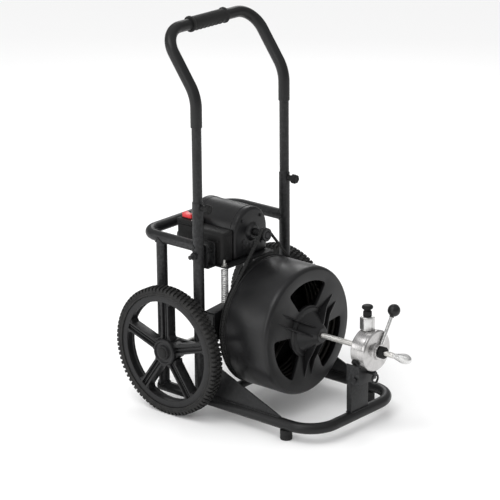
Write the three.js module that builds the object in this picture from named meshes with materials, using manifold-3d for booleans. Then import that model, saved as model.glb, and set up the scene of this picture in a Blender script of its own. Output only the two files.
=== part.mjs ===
// A wheeled drum-type drain cleaning machine with a belt-driven cable drum and an automatic cable feed.
// Millimetres, +Z up. The drum axis runs along Y and the cable leaves towards -Y.
// X is the lateral direction; the left side of the machine is +X.

import * as THREE from 'three';
import { mergeVertices } from 'three/addons/utils/BufferGeometryUtils.js';
import Module from 'manifold-3d';

const wasm = await Module();
wasm.setup();

// ---------------------------------------------------------------- driving dimensions

const GAP = 0.3;                  // clearance kept between touching pieces

const TUBE_R = 12.7;              // 25.4 mm frame tube
const TUBE_WALL = 2;
const SIDE_X = 151;               // lateral distance of both side frames from the middle plane
const RAIL_Z = 35.7;              // centre height of the base rails
const RAIL_REAR_Y = 125;
const FRONT_BAR_Y = -339;
const BASE_CORNER_R = 68;

const CROSS_TUBE_R = 9.5;
const CROSS_TUBE_Y = -21;
const CROSS_TUBE_HALF_LENGTH = 180;

const UPRIGHT_TOP_Z = 505;
const UPRIGHT_BORE_R = 11.7;
const REAR_LEG_Y = 112.4;
const TOP_LOOP_Z = 399.5;
const TOP_LOOP_REAR_Y = 171;
const TOP_LOOP_CORNER_R = 45;

const HANDLE_TUBE_R = 11.1;       // 22.2 mm telescoping tube
const HANDLE_TUBE_BOTTOM_Z = 456;
const SLEEVE_R = 13.2;            // thicker upper handle tube
const SLEEVE_BORE_R = 12.3;       // an octagon in the solid, so it clears the round tube by more
const SLEEVE_BOTTOM_Z = 677.5;
const LEAN_CORNER_Z = 748;        // where the handle bends back
const LEAN = THREE.MathUtils.degToRad(35.7);
const LEAN_LENGTH = 164.5;
const GRIP_LENGTH = 118;
const GRIP_R = 16;
const GRIP_FLANGE_R = 18.5;
const CLAMP_KNOB_Z = 493.5;

const WHEEL_R = 152;
const WHEEL_Y = 51.4;
const WHEEL_OUTER_X = 216;
const WHEEL_WIDTH = 33;
const TYRE_INNER_R = 133;
const SPOKE_COUNT = 5;
const AXLE_R = 7.95;
const AXLE_HALF_LENGTH = 226;

const DRUM_Z = 199.7;             // height of the drum and cable axis
const DRUM_R = 150.5;
const DRUM_FRONT_Y = -195;
const DRUM_REAR_Y = -62;
const HUB_FRONT_Y = -238;
const WINDOW_COUNT = 3;
const CABLE_R = 6.35;             // half-inch cable
const CABLE_NECK_Y = -441;
const TIP_Y = -488;

const BELT_Y = -68.25;            // middle plane of the belt
const BELT_WIDTH = 8;
const BELT_THICKNESS = 4;
const DRUM_GROOVE_R = 146.5;
const PULLEY_GROOVE_R = 12;
const PULLEY_FLANGE_R = 15.5;
const DRUM_BELT_GAP = 1;           // the belt is a polygon, so it clears the round groove by more
const PULLEY_BELT_GAP = 0.5;

const MOTOR_Z = 404;
const MOTOR_R = 58;
const MOTOR_BELL_R = 57;
const PIVOT_Z = 380.6;            // tilt axis of the motor plate, through the right upright
const PLATE_RIGHT_X = -108;
const PLATE_LEFT_X = 62;
const PLATE_TOP_Z = 346.5;
const PLATE_FRONT_Y = -44;
const PLATE_REAR_Y = 46;
const PLATE_THICKNESS = 4;
const EAR = { front: -10, rear: 26, top: 400, corner: 6 };
const HINGE_RIGHT_X = -134;       // outer of the two ears, next to the upright

const CAPACITOR_BOX = { x0: -98, x1: -59, y0: -26, y1: 61.7, top: 420 };
const SWITCH_BOX = { x0: -100, x1: -59, y0: 62, y1: 112, bottom: 366, top: 434 };
const ROCKER = { x: -79.5, y: 92, halfX: 9, halfY: 13 };
const CORD_GLAND_Z = 388;

const BEAM_FRONT_Y = -44;         // cross beam that carries the drum bearing
const BEAM_THICKNESS = 5;
const SPRING_X = -98;
const SPRING_Y = -31;

const FEED_REAR_Y = -350;
const FEED_SPLIT_Y = -386;        // joint between feed housing and turning collar
const FEED_FRONT_Y = -394.5;
const FEED_SPIGOT_Y = -404;
const FEED_R = 46;
const COLLAR_R = 47.5;
const PLUG_ANGLE = THREE.MathUtils.degToRad(120);
const LEVER_ANGLE = THREE.MathUtils.degToRad(33);
const LEVER_Y = -399;
const BALL_RADIUS = 14.3;
const BALL_REACH = 98.3;
const KNOB_Y = -366;
const HEX_TURN = THREE.MathUtils.degToRad(-19);
const TOWER_TOP_Z = 118;
const TOWER_HALF_WIDTH = 31.5;
const LOCK_PIN_Z = 144;
const SADDLE_FRONT_Y = -368;
const ROLLER_REACH = 15;          // distance of the roller axes from the cable axis

// ---------------------------------------------------------------- geometry helpers

function signedVolume(geometry) {
  const p = geometry.attributes.position;
  const index = geometry.index;
  const a = new THREE.Vector3();
  const b = new THREE.Vector3();
  const c = new THREE.Vector3();
  let volume = 0;
  for (let i = 0; i < index.count; i += 3) {
    a.fromBufferAttribute(p, index.getX(i));
    b.fromBufferAttribute(p, index.getX(i + 1));
    c.fromBufferAttribute(p, index.getX(i + 2));
    volume += a.dot(b.cross(c)) / 6;
  }
  return volume;
}

// Shared vertices merged, collapsed triangles dropped, faces turned outwards.
function closed(source) {
  const bare = source.clone();
  bare.deleteAttribute('normal');
  bare.deleteAttribute('uv');
  const merged = mergeVertices(bare, 1e-4);
  const kept = [];
  const index = merged.index;
  for (let i = 0; i < index.count; i += 3) {
    const [a, b, c] = [index.getX(i), index.getX(i + 1), index.getX(i + 2)];
    if (a !== b && b !== c && a !== c) kept.push(a, b, c);
  }
  merged.setIndex(kept);
  if (signedVolume(merged) < 0) {
    for (let i = 0; i < kept.length; i += 3) [kept[i], kept[i + 1]] = [kept[i + 1], kept[i]];
    merged.setIndex(kept);
  }
  return merged;
}

function toManifold(source) {
  const geometry = closed(source);
  const mesh = new wasm.Mesh({
    numProp: 3,
    vertProperties: new Float32Array(geometry.attributes.position.array),
    triVerts: new Uint32Array(geometry.index.array),
  });
  return new wasm.Manifold(mesh);
}

function fromManifold(solid) {
  const mesh = solid.getMesh();
  const geometry = new THREE.BufferGeometry();
  geometry.setAttribute('position', new THREE.BufferAttribute(new Float32Array(mesh.vertProperties), 3));
  geometry.setIndex(Array.from(mesh.triVerts));
  return geometry;
}

function cut(base, ...tools) {
  return fromManifold(tools.reduce((solid, tool) => solid.subtract(toManifold(tool)), toManifold(base)));
}

function join(base, ...others) {
  return fromManifold(others.reduce((solid, other) => solid.add(toManifold(other)), toManifold(base)));
}

// A solid of revolution about Y: each profile point is [radius, y].
function turnedY(profile, sides = 24, closeProfile = false) {
  const points = profile.map(([r, y]) => new THREE.Vector2(r, y));
  if (closeProfile) points.push(points[0].clone());
  return new THREE.LatheGeometry(points, sides);
}

// The same about X (profile points [radius, x]) and about Z (profile points [radius, z]).
function turnedX(profile, sides, closeProfile) {
  return turnedY(profile, sides, closeProfile).rotateZ(-Math.PI / 2);
}

function turnedZ(profile, sides, closeProfile) {
  return turnedY(profile, sides, closeProfile).rotateX(Math.PI / 2);
}

function ring(outer, inner, from, to) {
  return [[outer, from], [outer, to], [inner, to], [inner, from]];
}

function rod(radius, from, to) {
  return [[0, from], [radius, from], [radius, to], [0, to]];
}

function box(x0, x1, y0, y1, z0, z1) {
  const geometry = new THREE.BoxGeometry(x1 - x0, y1 - y0, z1 - z0);
  return geometry.translate((x0 + x1) / 2, (y0 + y1) / 2, (z0 + z1) / 2);
}

// A flat plate: an outline in the Y-Z plane, extruded along X from x0 by thickness.
function plateYZ(outline, x0, thickness) {
  const shape = new THREE.Shape(outline.map(([y, z]) => new THREE.Vector2(y, z)));
  const geometry = new THREE.ExtrudeGeometry(shape, { depth: thickness, bevelEnabled: false });
  return geometry.rotateX(Math.PI / 2).rotateZ(Math.PI / 2).translate(x0, 0, 0);
}

// A flat plate: a shape in the X-Z plane, extruded from front y0 backwards by thickness.
function plateXZ(shape, y0, thickness) {
  const geometry = new THREE.ExtrudeGeometry(shape, { depth: thickness, bevelEnabled: false, curveSegments: 5 });
  return geometry.rotateX(Math.PI / 2).translate(0, y0 + thickness, 0);
}

// A path through exactly the points given, one extrusion step per point.
class Route extends THREE.Curve {
  constructor(points) {
    super();
    this.points = points;
  }
  getPointAt(u) {
    return this.points[Math.round(u * (this.points.length - 1))].clone();
  }
  getTangentAt(u) {
    const i = Math.round(u * (this.points.length - 1));
    const before = this.points[Math.max(i - 1, 0)];
    const after = this.points[Math.min(i + 1, this.points.length - 1)];
    const here = this.points[i];
    const back = here.clone().sub(before).normalize();
    const ahead = after.clone().sub(here).normalize();
    return back.add(ahead).normalize();
  }
}

// Corner points joined by straight runs and round bends of the given radii.
function bentRoute(corners, radii, bendSteps = 5) {
  const points = [corners[0]];
  for (let i = 1; i < corners.length - 1; i += 1) {
    const back = corners[i - 1].clone().sub(corners[i]).normalize();
    const ahead = corners[i + 1].clone().sub(corners[i]).normalize();
    const half = back.angleTo(ahead) / 2;
    const radius = radii[i - 1];
    const inward = back.clone().add(ahead).normalize();
    const centre = corners[i].clone().addScaledVector(inward, radius / Math.sin(half));
    const start = corners[i].clone().addScaledVector(back, radius / Math.tan(half)).sub(centre);
    const axis = start.clone().cross(back).normalize();
    const turn = Math.PI - 2 * half;
    for (let k = 0; k <= bendSteps; k += 1) {
      points.push(start.clone().applyAxisAngle(axis, -turn * k / bendSteps).add(centre));
    }
  }
  points.push(corners[corners.length - 1]);
  return points;
}

function circle(radius, sides) {
  const points = [];
  for (let i = 0; i < sides; i += 1) {
    const angle = 2 * Math.PI * i / sides;
    points.push(new THREE.Vector2(radius * Math.cos(angle), radius * Math.sin(angle)));
  }
  return points;
}

function bentTube(points, outer, inner) {
  const shape = new THREE.Shape(circle(outer, 12));
  shape.holes.push(new THREE.Path(circle(inner, 8)));
  const route = new Route(points);
  return new THREE.ExtrudeGeometry(shape, { steps: points.length - 1, extrudePath: route, bevelEnabled: false });
}

const at = (x, y, z) => new THREE.Vector3(x, y, z);

// ---------------------------------------------------------------- materials and mesh making

function finish(color, roughness, metalness) {
  return () => new THREE.MeshStandardMaterial({ color, roughness, metalness });
}

const blackPaint = finish(0x1b1c1d, 0.42, 0.0);
const blackPlastic = finish(0x161718, 0.35, 0.0);
const glossPlastic = finish(0x111213, 0.18, 0.0);
const blackRubber = finish(0x181818, 0.8, 0.0);
const redPlastic = finish(0xc8202a, 0.35, 0.0);
const brightSteel = finish(0xc9c9cb, 0.3, 1.0);
const castAluminium = finish(0xb9babd, 0.35, 1.0);
const greySteel = finish(0x6f7376, 0.45, 1.0);

const machine = new THREE.Group();

function add(name, geometry, material, x = 0, y = 0, z = 0) {
  const mesh = new THREE.Mesh(closed(geometry), material());
  mesh.name = name;
  mesh.position.set(x, y, z);
  machine.add(mesh);
}

// side is -1 for the right-hand piece (-X) and +1 for the left-hand piece (+X)
const sides = [['right', -1], ['left', 1]];

// ---------------------------------------------------------------- frame

function baseLoop() {
  const corners = [
    at(-SIDE_X, RAIL_REAR_Y, RAIL_Z), at(-SIDE_X, FRONT_BAR_Y, RAIL_Z),
    at(SIDE_X, FRONT_BAR_Y, RAIL_Z), at(SIDE_X, RAIL_REAR_Y, RAIL_Z),
  ];
  const loop = bentTube(bentRoute(corners, [BASE_CORNER_R, BASE_CORNER_R]), TUBE_R, TUBE_R - TUBE_WALL);
  const crossHole = turnedX(rod(CROSS_TUBE_R + 0.5, -SIDE_X - 30, SIDE_X + 30), 16).translate(0, CROSS_TUBE_Y, RAIL_Z);
  return cut(loop, crossHole);
}

function upright(side) {
  const floor = RAIL_Z + TUBE_R + GAP;
  const profile = [
    [0, floor], [TUBE_R, floor], [TUBE_R, UPRIGHT_TOP_Z],
    [UPRIGHT_BORE_R, UPRIGHT_TOP_Z], [UPRIGHT_BORE_R, floor + 3], [0, floor + 3],
  ];
  const tube = turnedZ(profile, 16);
  const pivotHole = turnedX(rod(5.7, -20, 20), 16).translate(0, 0, PIVOT_Z);
  const screwHole = turnedY(rod(4.6, -16, -6), 12).translate(0, 0, CLAMP_KNOB_Z);
  return side < 0 ? cut(tube, pivotHole, screwHole) : cut(tube, screwHole);
}

function topLoop() {
  const front = TUBE_R + GAP;
  const corners = [
    at(-SIDE_X, front, TOP_LOOP_Z), at(-SIDE_X, TOP_LOOP_REAR_Y, TOP_LOOP_Z),
    at(SIDE_X, TOP_LOOP_REAR_Y, TOP_LOOP_Z), at(SIDE_X, front, TOP_LOOP_Z),
  ];
  return bentTube(bentRoute(corners, [TOP_LOOP_CORNER_R, TOP_LOOP_CORNER_R]), TUBE_R, TUBE_R - TUBE_WALL);
}

function gusset(side) {
  const rear = -TUBE_R - GAP;
  const floor = RAIL_Z + TUBE_R + GAP;
  return plateYZ([[rear, floor], [rear, 140], [-240, floor + 2], [-240, floor]], side * SIDE_X - 2, 4);
}

function axleBar(side) {
  const bar = box(side * SIDE_X - 5, side * SIDE_X + 5, TUBE_R + GAP, REAR_LEG_Y - TUBE_R - GAP,
    WHEEL_R - 12.5, WHEEL_R + 12.5);
  const hole = turnedX(rod(AXLE_R + 0.5, side * SIDE_X - 8, side * SIDE_X + 8), 16);
  return cut(bar, hole.translate(0, WHEEL_Y, WHEEL_R));
}

// A folded steel beam between the side frames: a deep web with the drum bearing, a top flange
// under the belt spring, and end flanges that reach back to the uprights.
function bearingBeam() {
  const end = SIDE_X - 3;
  const shoulder = 60;
  const outline = [
    [-end, 186], [-shoulder, 160], [shoulder, 160], [end, 186],
    [end, 248], [shoulder, 256], [-shoulder, 256], [-end, 248],
  ];
  const web = plateXZ(new THREE.Shape(outline.map(([x, z]) => new THREE.Vector2(x, z))),
    BEAM_FRONT_Y, BEAM_THICKNESS);
  const flangeOutline = [
    [-end, 245], [-shoulder, 253], [shoulder, 253], [end, 245],
    [end, 248], [shoulder, 256], [-shoulder, 256], [-end, 248],
  ];
  const flange = plateXZ(new THREE.Shape(flangeOutline.map(([x, z]) => new THREE.Vector2(x, z))),
    BEAM_FRONT_Y, 30);
  const ends = sides.map(([, side]) => box(side * (end - 2) - 2, side * (end - 2) + 2,
    BEAM_FRONT_Y, -TUBE_R - GAP, 186, 248));
  const hole = turnedY(rod(26.6, BEAM_FRONT_Y - 5, BEAM_FRONT_Y + 12), 24).translate(0, 0, DRUM_Z);
  return cut(join(web, flange, ...ends), hole);
}

function feedTower() {
  const post = box(-TOWER_HALF_WIDTH, TOWER_HALF_WIDTH, FRONT_BAR_Y - 7, FRONT_BAR_Y + 7, 42, TOWER_TOP_Z);
  const bar = turnedX(rod(TUBE_R + GAP, -50, 50), 24).translate(0, FRONT_BAR_Y, RAIL_Z);
  return cut(post, bar);
}

// A block on top of the tower, hollowed to hold the feed housing.
function feedSaddle() {
  const block = box(-TOWER_HALF_WIDTH, TOWER_HALF_WIDTH, SADDLE_FRONT_Y, FRONT_BAR_Y + 7,
    TOWER_TOP_Z + GAP, DRUM_Z - 38);
  const barrel = turnedY(rod(FEED_R + 1, -390, -340), 36).translate(0, 0, DRUM_Z);
  const pinHole = turnedY(rod(4.6, SADDLE_FRONT_Y - 5, -345), 12).translate(0, 0, LOCK_PIN_Z);
  return cut(block, barrel, pinHole);
}

function foot() {
  const top = RAIL_Z - TUBE_R - GAP;
  return turnedZ([[0, 0], [13, 0], [14, 1.5], [14, top], [0, top]], 20);
}

add('base_loop', baseLoop(), blackPaint);
add('rear_cross_tube', turnedX(ring(CROSS_TUBE_R, 7.5, -CROSS_TUBE_HALF_LENGTH, CROSS_TUBE_HALF_LENGTH), 16, true),
  blackPaint, 0, CROSS_TUBE_Y, RAIL_Z);
add('top_loop', topLoop(), blackPaint);
add('bearing_beam', bearingBeam(), blackPaint);
add('feed_tower', feedTower(), blackPaint);
add('feed_saddle', feedSaddle(), blackPaint);
add('wheel_axle', turnedX(rod(AXLE_R, -AXLE_HALF_LENGTH, AXLE_HALF_LENGTH), 16), greySteel, 0, WHEEL_Y, WHEEL_R);

for (const [label, side] of sides) {
  const x = side * SIDE_X;
  const legBottom = RAIL_Z + TUBE_R + GAP;
  const legTop = TOP_LOOP_Z - TUBE_R - GAP;
  add(`${label}_upright`, upright(side), blackPaint, x);
  add(`${label}_rear_leg`, turnedZ(ring(TUBE_R, TUBE_R - TUBE_WALL, legBottom, legTop), 16, true),
    blackPaint, x, REAR_LEG_Y);
  add(`${label}_gusset`, gusset(side), blackPaint);
  add(`${label}_axle_bar`, axleBar(side), blackPaint);
  add(`${label}_foot`, foot(), blackRubber, side * 149.5, -255);
}

// ---------------------------------------------------------------- handle

const barY = LEAN_LENGTH * Math.sin(LEAN);
const barZ = LEAN_CORNER_Z + LEAN_LENGTH * Math.cos(LEAN);

function upperHandle() {
  const corners = [
    at(-SIDE_X, 0, SLEEVE_BOTTOM_Z), at(-SIDE_X, 0, LEAN_CORNER_Z), at(-SIDE_X, barY, barZ),
    at(SIDE_X, barY, barZ), at(SIDE_X, 0, LEAN_CORNER_Z), at(SIDE_X, 0, SLEEVE_BOTTOM_Z),
  ];
  return bentTube(bentRoute(corners, [85, 55, 55, 85], 4), SLEEVE_R, SLEEVE_BORE_R);
}

function grip() {
  const half = GRIP_LENGTH / 2;
  const bore = SLEEVE_R + 0.5;
  return turnedX([
    [bore, -half], [GRIP_FLANGE_R, -half], [GRIP_FLANGE_R, -half + 4], [GRIP_R, -half + 8],
    [GRIP_R, half - 8], [GRIP_FLANGE_R, half - 4], [GRIP_FLANGE_R, half], [bore, half],
  ], 16, true);
}

function clampKnob() {
  return turnedY([
    [0, -11.7], [3.9, -11.7], [3.9, -13.2], [7, -13.2], [7, -22], [10.5, -24], [10.5, -36], [8, -38.5], [0, -38.5],
  ], 12);
}

add('upper_handle', upperHandle(), blackPaint);
add('handle_grip', grip(), blackRubber, -4, barY, barZ);
for (const [label, side] of sides) {
  add(`${label}_handle_tube`, turnedZ(ring(HANDLE_TUBE_R, 9.6, HANDLE_TUBE_BOTTOM_Z, 705), 16, true),
    blackPaint, side * SIDE_X);
  add(`${label}_clamp_knob`, clampKnob(), blackPlastic, side * SIDE_X, 0, CLAMP_KNOB_Z);
}

// ---------------------------------------------------------------- wheels

// Five-spoked rim: a round shape with five window holes, a hub and an axle bore.
function wheelRim(side) {
  const outer = TYRE_INNER_R - GAP;
  const windowR = 119;
  const hubR = 31;
  const spokeHalf = 11;
  const shape = new THREE.Shape(circle(outer, 36));
  for (let i = 0; i < SPOKE_COUNT; i += 1) {
    const middle = Math.PI / 2 + 2 * Math.PI * (i + 0.5) / SPOKE_COUNT;
    const reach = Math.PI / SPOKE_COUNT;
    const outerHalf = reach - Math.asin(spokeHalf / windowR);
    const innerHalf = reach - Math.asin(spokeHalf / (hubR + 4));
    const hole = new THREE.Path();
    hole.absarc(0, 0, windowR, middle - outerHalf, middle + outerHalf, false);
    hole.absarc(0, 0, hubR + 4, middle + innerHalf, middle - innerHalf, true);
    hole.closePath();
    shape.holes.push(hole);
  }
  const disc = new THREE.ExtrudeGeometry(shape, { depth: 26, bevelEnabled: false, curveSegments: 3 });
  disc.rotateX(Math.PI / 2).rotateZ(Math.PI / 2);
  const inner = side > 0 ? WHEEL_OUTER_X - 29 : -WHEEL_OUTER_X + 3;
  disc.translate(inner, 0, 0);
  const hub = turnedX(rod(hubR, side * 168, side * (WHEEL_OUTER_X + 7)), 16);
  const bore = turnedX(rod(AXLE_R + 0.5, side * 160, side * 240), 16);
  return cut(join(disc, hub), bore);
}

function tyre() {
  const half = WHEEL_WIDTH / 2;
  return turnedX([
    [TYRE_INNER_R, -half + 2], [TYRE_INNER_R + 4, -half], [WHEEL_R - 5, -half], [WHEEL_R, -half + 5],
    [WHEEL_R, half - 5], [WHEEL_R - 5, half], [TYRE_INNER_R + 4, half], [TYRE_INNER_R, half - 2],
  ], 36, true);
}

for (const [label, side] of sides) {
  add(`${label}_wheel`, wheelRim(side), blackPlastic, 0, WHEEL_Y, WHEEL_R);
  add(`${label}_tyre`, tyre(), blackRubber, side * (WHEEL_OUTER_X - WHEEL_WIDTH / 2), WHEEL_Y, WHEEL_R);
}

// ---------------------------------------------------------------- drum and cable

function drumWindow(index) {
  const middle = Math.PI / 2 + 2 * Math.PI * index / WINDOW_COUNT;
  const half = THREE.MathUtils.degToRad(33);
  const shape = new THREE.Shape();
  shape.absarc(0, 0, 118, middle - half, middle + half, false);
  shape.absarc(0, 0, 60, middle + half * 0.9, middle - half * 0.9, true);
  shape.closePath();
  return plateXZ(shape, DRUM_FRONT_Y - 8, 14);
}

function drumShell() {
  const wall = 4;
  const profile = [
    [DRUM_R, DRUM_REAR_Y - 16], [DRUM_R, -183], [149, -190], [144, DRUM_FRONT_Y],
    [56, DRUM_FRONT_Y], [53, DRUM_FRONT_Y - 4], [46, DRUM_FRONT_Y - 4],
    [18, HUB_FRONT_Y], [CABLE_R + 0.5, HUB_FRONT_Y], [CABLE_R + 0.5, DRUM_FRONT_Y + wall],
    [143, DRUM_FRONT_Y + wall], [DRUM_R - wall, DRUM_FRONT_Y + wall + 4], [DRUM_R - wall, DRUM_REAR_Y - 16],
  ];
  const windows = [];
  for (let i = 0; i < WINDOW_COUNT; i += 1) windows.push(drumWindow(i));
  return cut(turnedY(profile, 36, true), ...windows);
}

function drumBack() {
  return turnedY([
    [13, -56], [30, -56], [34, -62], [142, -62], [151.5, -60], [151.5, -62.5], [DRUM_GROOVE_R, -64],
    [DRUM_GROOVE_R, -72.5], [151.5, -74], [151.5, -77.7], [142, -77.7], [142, -67], [34, -67], [30, -74], [13, -74],
  ], 36, true);
}

function drumShaft() {
  return turnedY([
    [0, -24], [12.5, -24], [12.5, -52.3], [18, -52.3], [18, -55.7], [12.5, -55.7], [12.5, -84], [0, -84],
  ], 16);
}

function drumBearing() {
  return turnedY([
    [13, -52], [34, -52], [34, -44.3], [26, -44.3], [26, -32], [13, -32],
  ], 16, true);
}

// The wound cable: two layers of turns against the drum wall, as one plain ring.
function cableCoil() {
  const outer = DRUM_R - 4.8;
  const inner = outer - 4 * CABLE_R;
  return turnedY(ring(outer, inner, -186, -79), 28, true);
}

function bulbTip() {
  return turnedY([
    [0, CABLE_NECK_Y - GAP], [5.5, CABLE_NECK_Y - GAP], [7, -450], [10.2, -460], [11.6, -468], [11, -477],
    [7, -485], [0, TIP_Y],
  ], 12);
}

add('drum_shell', drumShell(), glossPlastic, 0, 0, DRUM_Z);
add('drum_back', drumBack(), blackPlastic, 0, 0, DRUM_Z);
add('drum_shaft', drumShaft(), brightSteel, 0, 0, DRUM_Z);
add('drum_bearing', drumBearing(), greySteel, 0, 0, DRUM_Z);
add('cable_coil', cableCoil(), brightSteel, 0, 0, DRUM_Z);
add('guide_cable', turnedY(rod(CABLE_R, -185, CABLE_NECK_Y), 16), brightSteel, 0, 0, DRUM_Z);
add('bulb_tip', bulbTip(), brightSteel, 0, 0, DRUM_Z);

// ---------------------------------------------------------------- belt drive

// Outline of the belt round the drum groove and the motor pulley, grown outwards by offset.
function beltOutline(offset) {
  const big = DRUM_GROOVE_R + DRUM_BELT_GAP + offset;
  const small = PULLEY_GROOVE_R + PULLEY_BELT_GAP + offset;
  const distance = MOTOR_Z - DRUM_Z;
  const contact = Math.acos((big - small) / distance);
  const up = Math.PI / 2;
  const outline = new THREE.Shape();
  outline.absarc(0, MOTOR_Z, small, up - contact, up + contact, false);
  outline.absarc(0, DRUM_Z, big, up + contact, up - contact + 2 * Math.PI, false);
  outline.closePath();
  return outline;
}

function belt() {
  const shape = new THREE.Shape(beltOutline(BELT_THICKNESS).getPoints(14));
  shape.holes.push(new THREE.Path(beltOutline(0).getPoints(14)));
  return plateXZ(shape, BELT_Y - BELT_WIDTH / 2, BELT_WIDTH);
}

function motorPulley() {
  return turnedY([
    [8.5, -60], [PULLEY_FLANGE_R, -60], [PULLEY_FLANGE_R, -62.5], [PULLEY_GROOVE_R, -64], [PULLEY_GROOVE_R, -72.5],
    [PULLEY_FLANGE_R, -74], [PULLEY_FLANGE_R, -76.5], [8.5, -76.5],
  ], 16, true);
}

function motorRotor() {
  return turnedY([[0, -77], [8, -77], [8, 5], [31, 5], [31, 80], [8, 80], [8, 108], [0, 108]], 16);
}

// Both motor castings are round on top and square below, down to the plate.
function squareBase(halfWidth, y0, y1) {
  return box(-halfWidth, halfWidth, y0, y1, PLATE_TOP_Z + GAP - MOTOR_Z, 0);
}

function motorBody() {
  const outside = join(turnedY(rod(MOTOR_R, -12, 95), 24), squareBase(MOTOR_R, -12, 95));
  const belowPlate = box(-MOTOR_R, MOTOR_R, -13, 96, -MOTOR_R - 1, PLATE_TOP_Z + GAP - MOTOR_Z);
  return cut(outside, belowPlate, turnedY(rod(32, -20, 100), 24));
}

function motorFrontBell() {
  const bell = turnedY([
    [8.6, -36], [16, -36], [20, -27], [50, -27], [MOTOR_BELL_R, -22], [MOTOR_BELL_R, -12.3],
    [34, -12.3], [34, -20], [8.6, -20],
  ], 24, true);
  const base = cut(squareBase(MOTOR_BELL_R, -27, -12.3), turnedY(rod(40, -30, -10), 24));
  return join(bell, base);
}

function motorRearCover() {
  return turnedY([
    [0, 125], [34, 125], [50, 121], [MOTOR_R, 111], [MOTOR_R, 95.3],
    [34, 95.3], [34, 101], [8.7, 101], [8.7, 112], [0, 112],
  ], 24);
}

// The tilting plate under the motor. Its two ears hang on one bolt through the right upright.
function motorPlate() {
  const bottom = PLATE_TOP_Z - PLATE_THICKNESS;
  const { front, rear, top, corner } = EAR;
  const plate = box(PLATE_RIGHT_X, PLATE_LEFT_X, PLATE_FRONT_Y, PLATE_REAR_Y, bottom, PLATE_TOP_Z);
  const tongue = box(HINGE_RIGHT_X, PLATE_RIGHT_X + 1, front, rear, bottom, PLATE_TOP_Z);
  const ears = [HINGE_RIGHT_X, PLATE_RIGHT_X].map((x) => plateYZ([
    [front, bottom], [front, top - corner], [front + corner, top],
    [rear - corner, top], [rear, top - corner], [rear, bottom],
  ], x, PLATE_THICKNESS));
  const hole = turnedX(rod(5.7, HINGE_RIGHT_X - 2, PLATE_RIGHT_X + 8), 16).translate(0, 0, PIVOT_Z);
  return cut(join(plate, tongue, ...ears), hole);
}

// The head is inside the inner ear, and the nut outside the upright.
function pivotBolt() {
  const head = PLATE_RIGHT_X + PLATE_THICKNESS + 0.4;
  const nut = -SIDE_X - TUBE_R - 0.4;
  return turnedX([
    [0, -181], [5, -181], [5, nut - 6], [9, nut - 6], [9, nut], [5, nut],
    [5, head], [8, head], [8, head + 4], [0, head + 4],
  ], 10);
}

function beltSpring() {
  return turnedZ(ring(9.2, 6, 256.3, PLATE_TOP_Z - PLATE_THICKNESS - GAP), 16, true);
}

add('drive_belt', belt(), blackRubber);
add('motor_pulley', motorPulley(), blackPaint, 0, 0, MOTOR_Z);
add('motor_rotor', motorRotor(), greySteel, 0, 0, MOTOR_Z);
add('motor_body', motorBody(), blackPaint, 0, 0, MOTOR_Z);
add('motor_front_bell', motorFrontBell(), blackPaint, 0, 0, MOTOR_Z);
add('motor_rear_cover', motorRearCover(), blackPaint, 0, 0, MOTOR_Z);
add('motor_plate', motorPlate(), blackPaint);
add('pivot_bolt', pivotBolt(), blackPaint, 0, 0, PIVOT_Z);
add('belt_spring', beltSpring(), brightSteel, SPRING_X, SPRING_Y, 0);

// ---------------------------------------------------------------- switch

function switchBox() {
  const { x0, x1, y0, y1, bottom, top } = SWITCH_BOX;
  const wall = 2.5;
  const block = box(x0, x1, y0, y1, bottom, top);
  const inside = box(x0 + wall, x1 - wall, y0 + wall, y1 - wall, bottom + wall, top - wall);
  const pocket = box(ROCKER.x - ROCKER.halfX - 0.6, ROCKER.x + ROCKER.halfX + 0.6,
    ROCKER.y - ROCKER.halfY - 1.2, ROCKER.y + ROCKER.halfY + 1.2, top - 16, top + 5);
  const inlet = turnedY(rod(9.5, y1 - 8, y1 + 5), 16).translate(ROCKER.x, 0, CORD_GLAND_Z);
  return cut(block, inside, pocket, inlet);
}

// Holds the motor's capacitor: a block with its outer top edge cut off at a slant.
function capacitorBox() {
  const { x0, x1, y0, y1, top } = CAPACITOR_BOX;
  const bevel = 10;
  const corners = [
    [x0, PLATE_TOP_Z + GAP], [x0, top - bevel], [x0 + bevel, top], [x1, top], [x1, PLATE_TOP_Z + GAP],
  ];
  const section = new THREE.Shape(corners.map(([x, z]) => new THREE.Vector2(x, z)));
  return plateXZ(section, y0, y1 - y0);
}

// The rocker button: a shallow vee on top, turning about its middle.
function rocker() {
  const { halfY } = ROCKER;
  return plateYZ([[-halfY, 0], [-halfY, 10], [0, 6.5], [halfY, 10], [halfY, 0], [0, -7]], -ROCKER.halfX, 2 * ROCKER.halfX);
}

function cordGland() {
  return turnedY([[4, 105], [9, 105], [9, 112.4], [12, 112.4], [12, 117], [8, 124], [4, 124]], 12, true);
}

add('capacitor_box', capacitorBox(), blackPlastic);
add('switch_box', switchBox(), blackPlastic);
add('switch_rocker', rocker(), redPlastic, ROCKER.x, ROCKER.y, SWITCH_BOX.top);
add('cord_gland', cordGland(), blackRubber, ROCKER.x, 0, CORD_GLAND_Z);

// ---------------------------------------------------------------- cable feed

// A radial hole through the housing wall at an angle from straight up.
function radialHole(radius, angle) {
  return turnedZ(rod(radius, 24, 60), 12).rotateY(angle).translate(0, KNOB_Y, 0);
}

function feedHousing() {
  const cup = turnedY([
    [8, FEED_REAR_Y], [40, FEED_REAR_Y], [FEED_R, FEED_REAR_Y - 5], [FEED_R, FEED_SPLIT_Y + GAP],
    [32, FEED_SPLIT_Y + GAP], [32, FEED_REAR_Y - 4], [8, FEED_REAR_Y - 4],
  ], 24, true);
  return cut(cup, radialHole(12.6, 0), radialHole(10.6, PLUG_ANGLE), radialHole(10.6, -PLUG_ANGLE));
}

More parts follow.
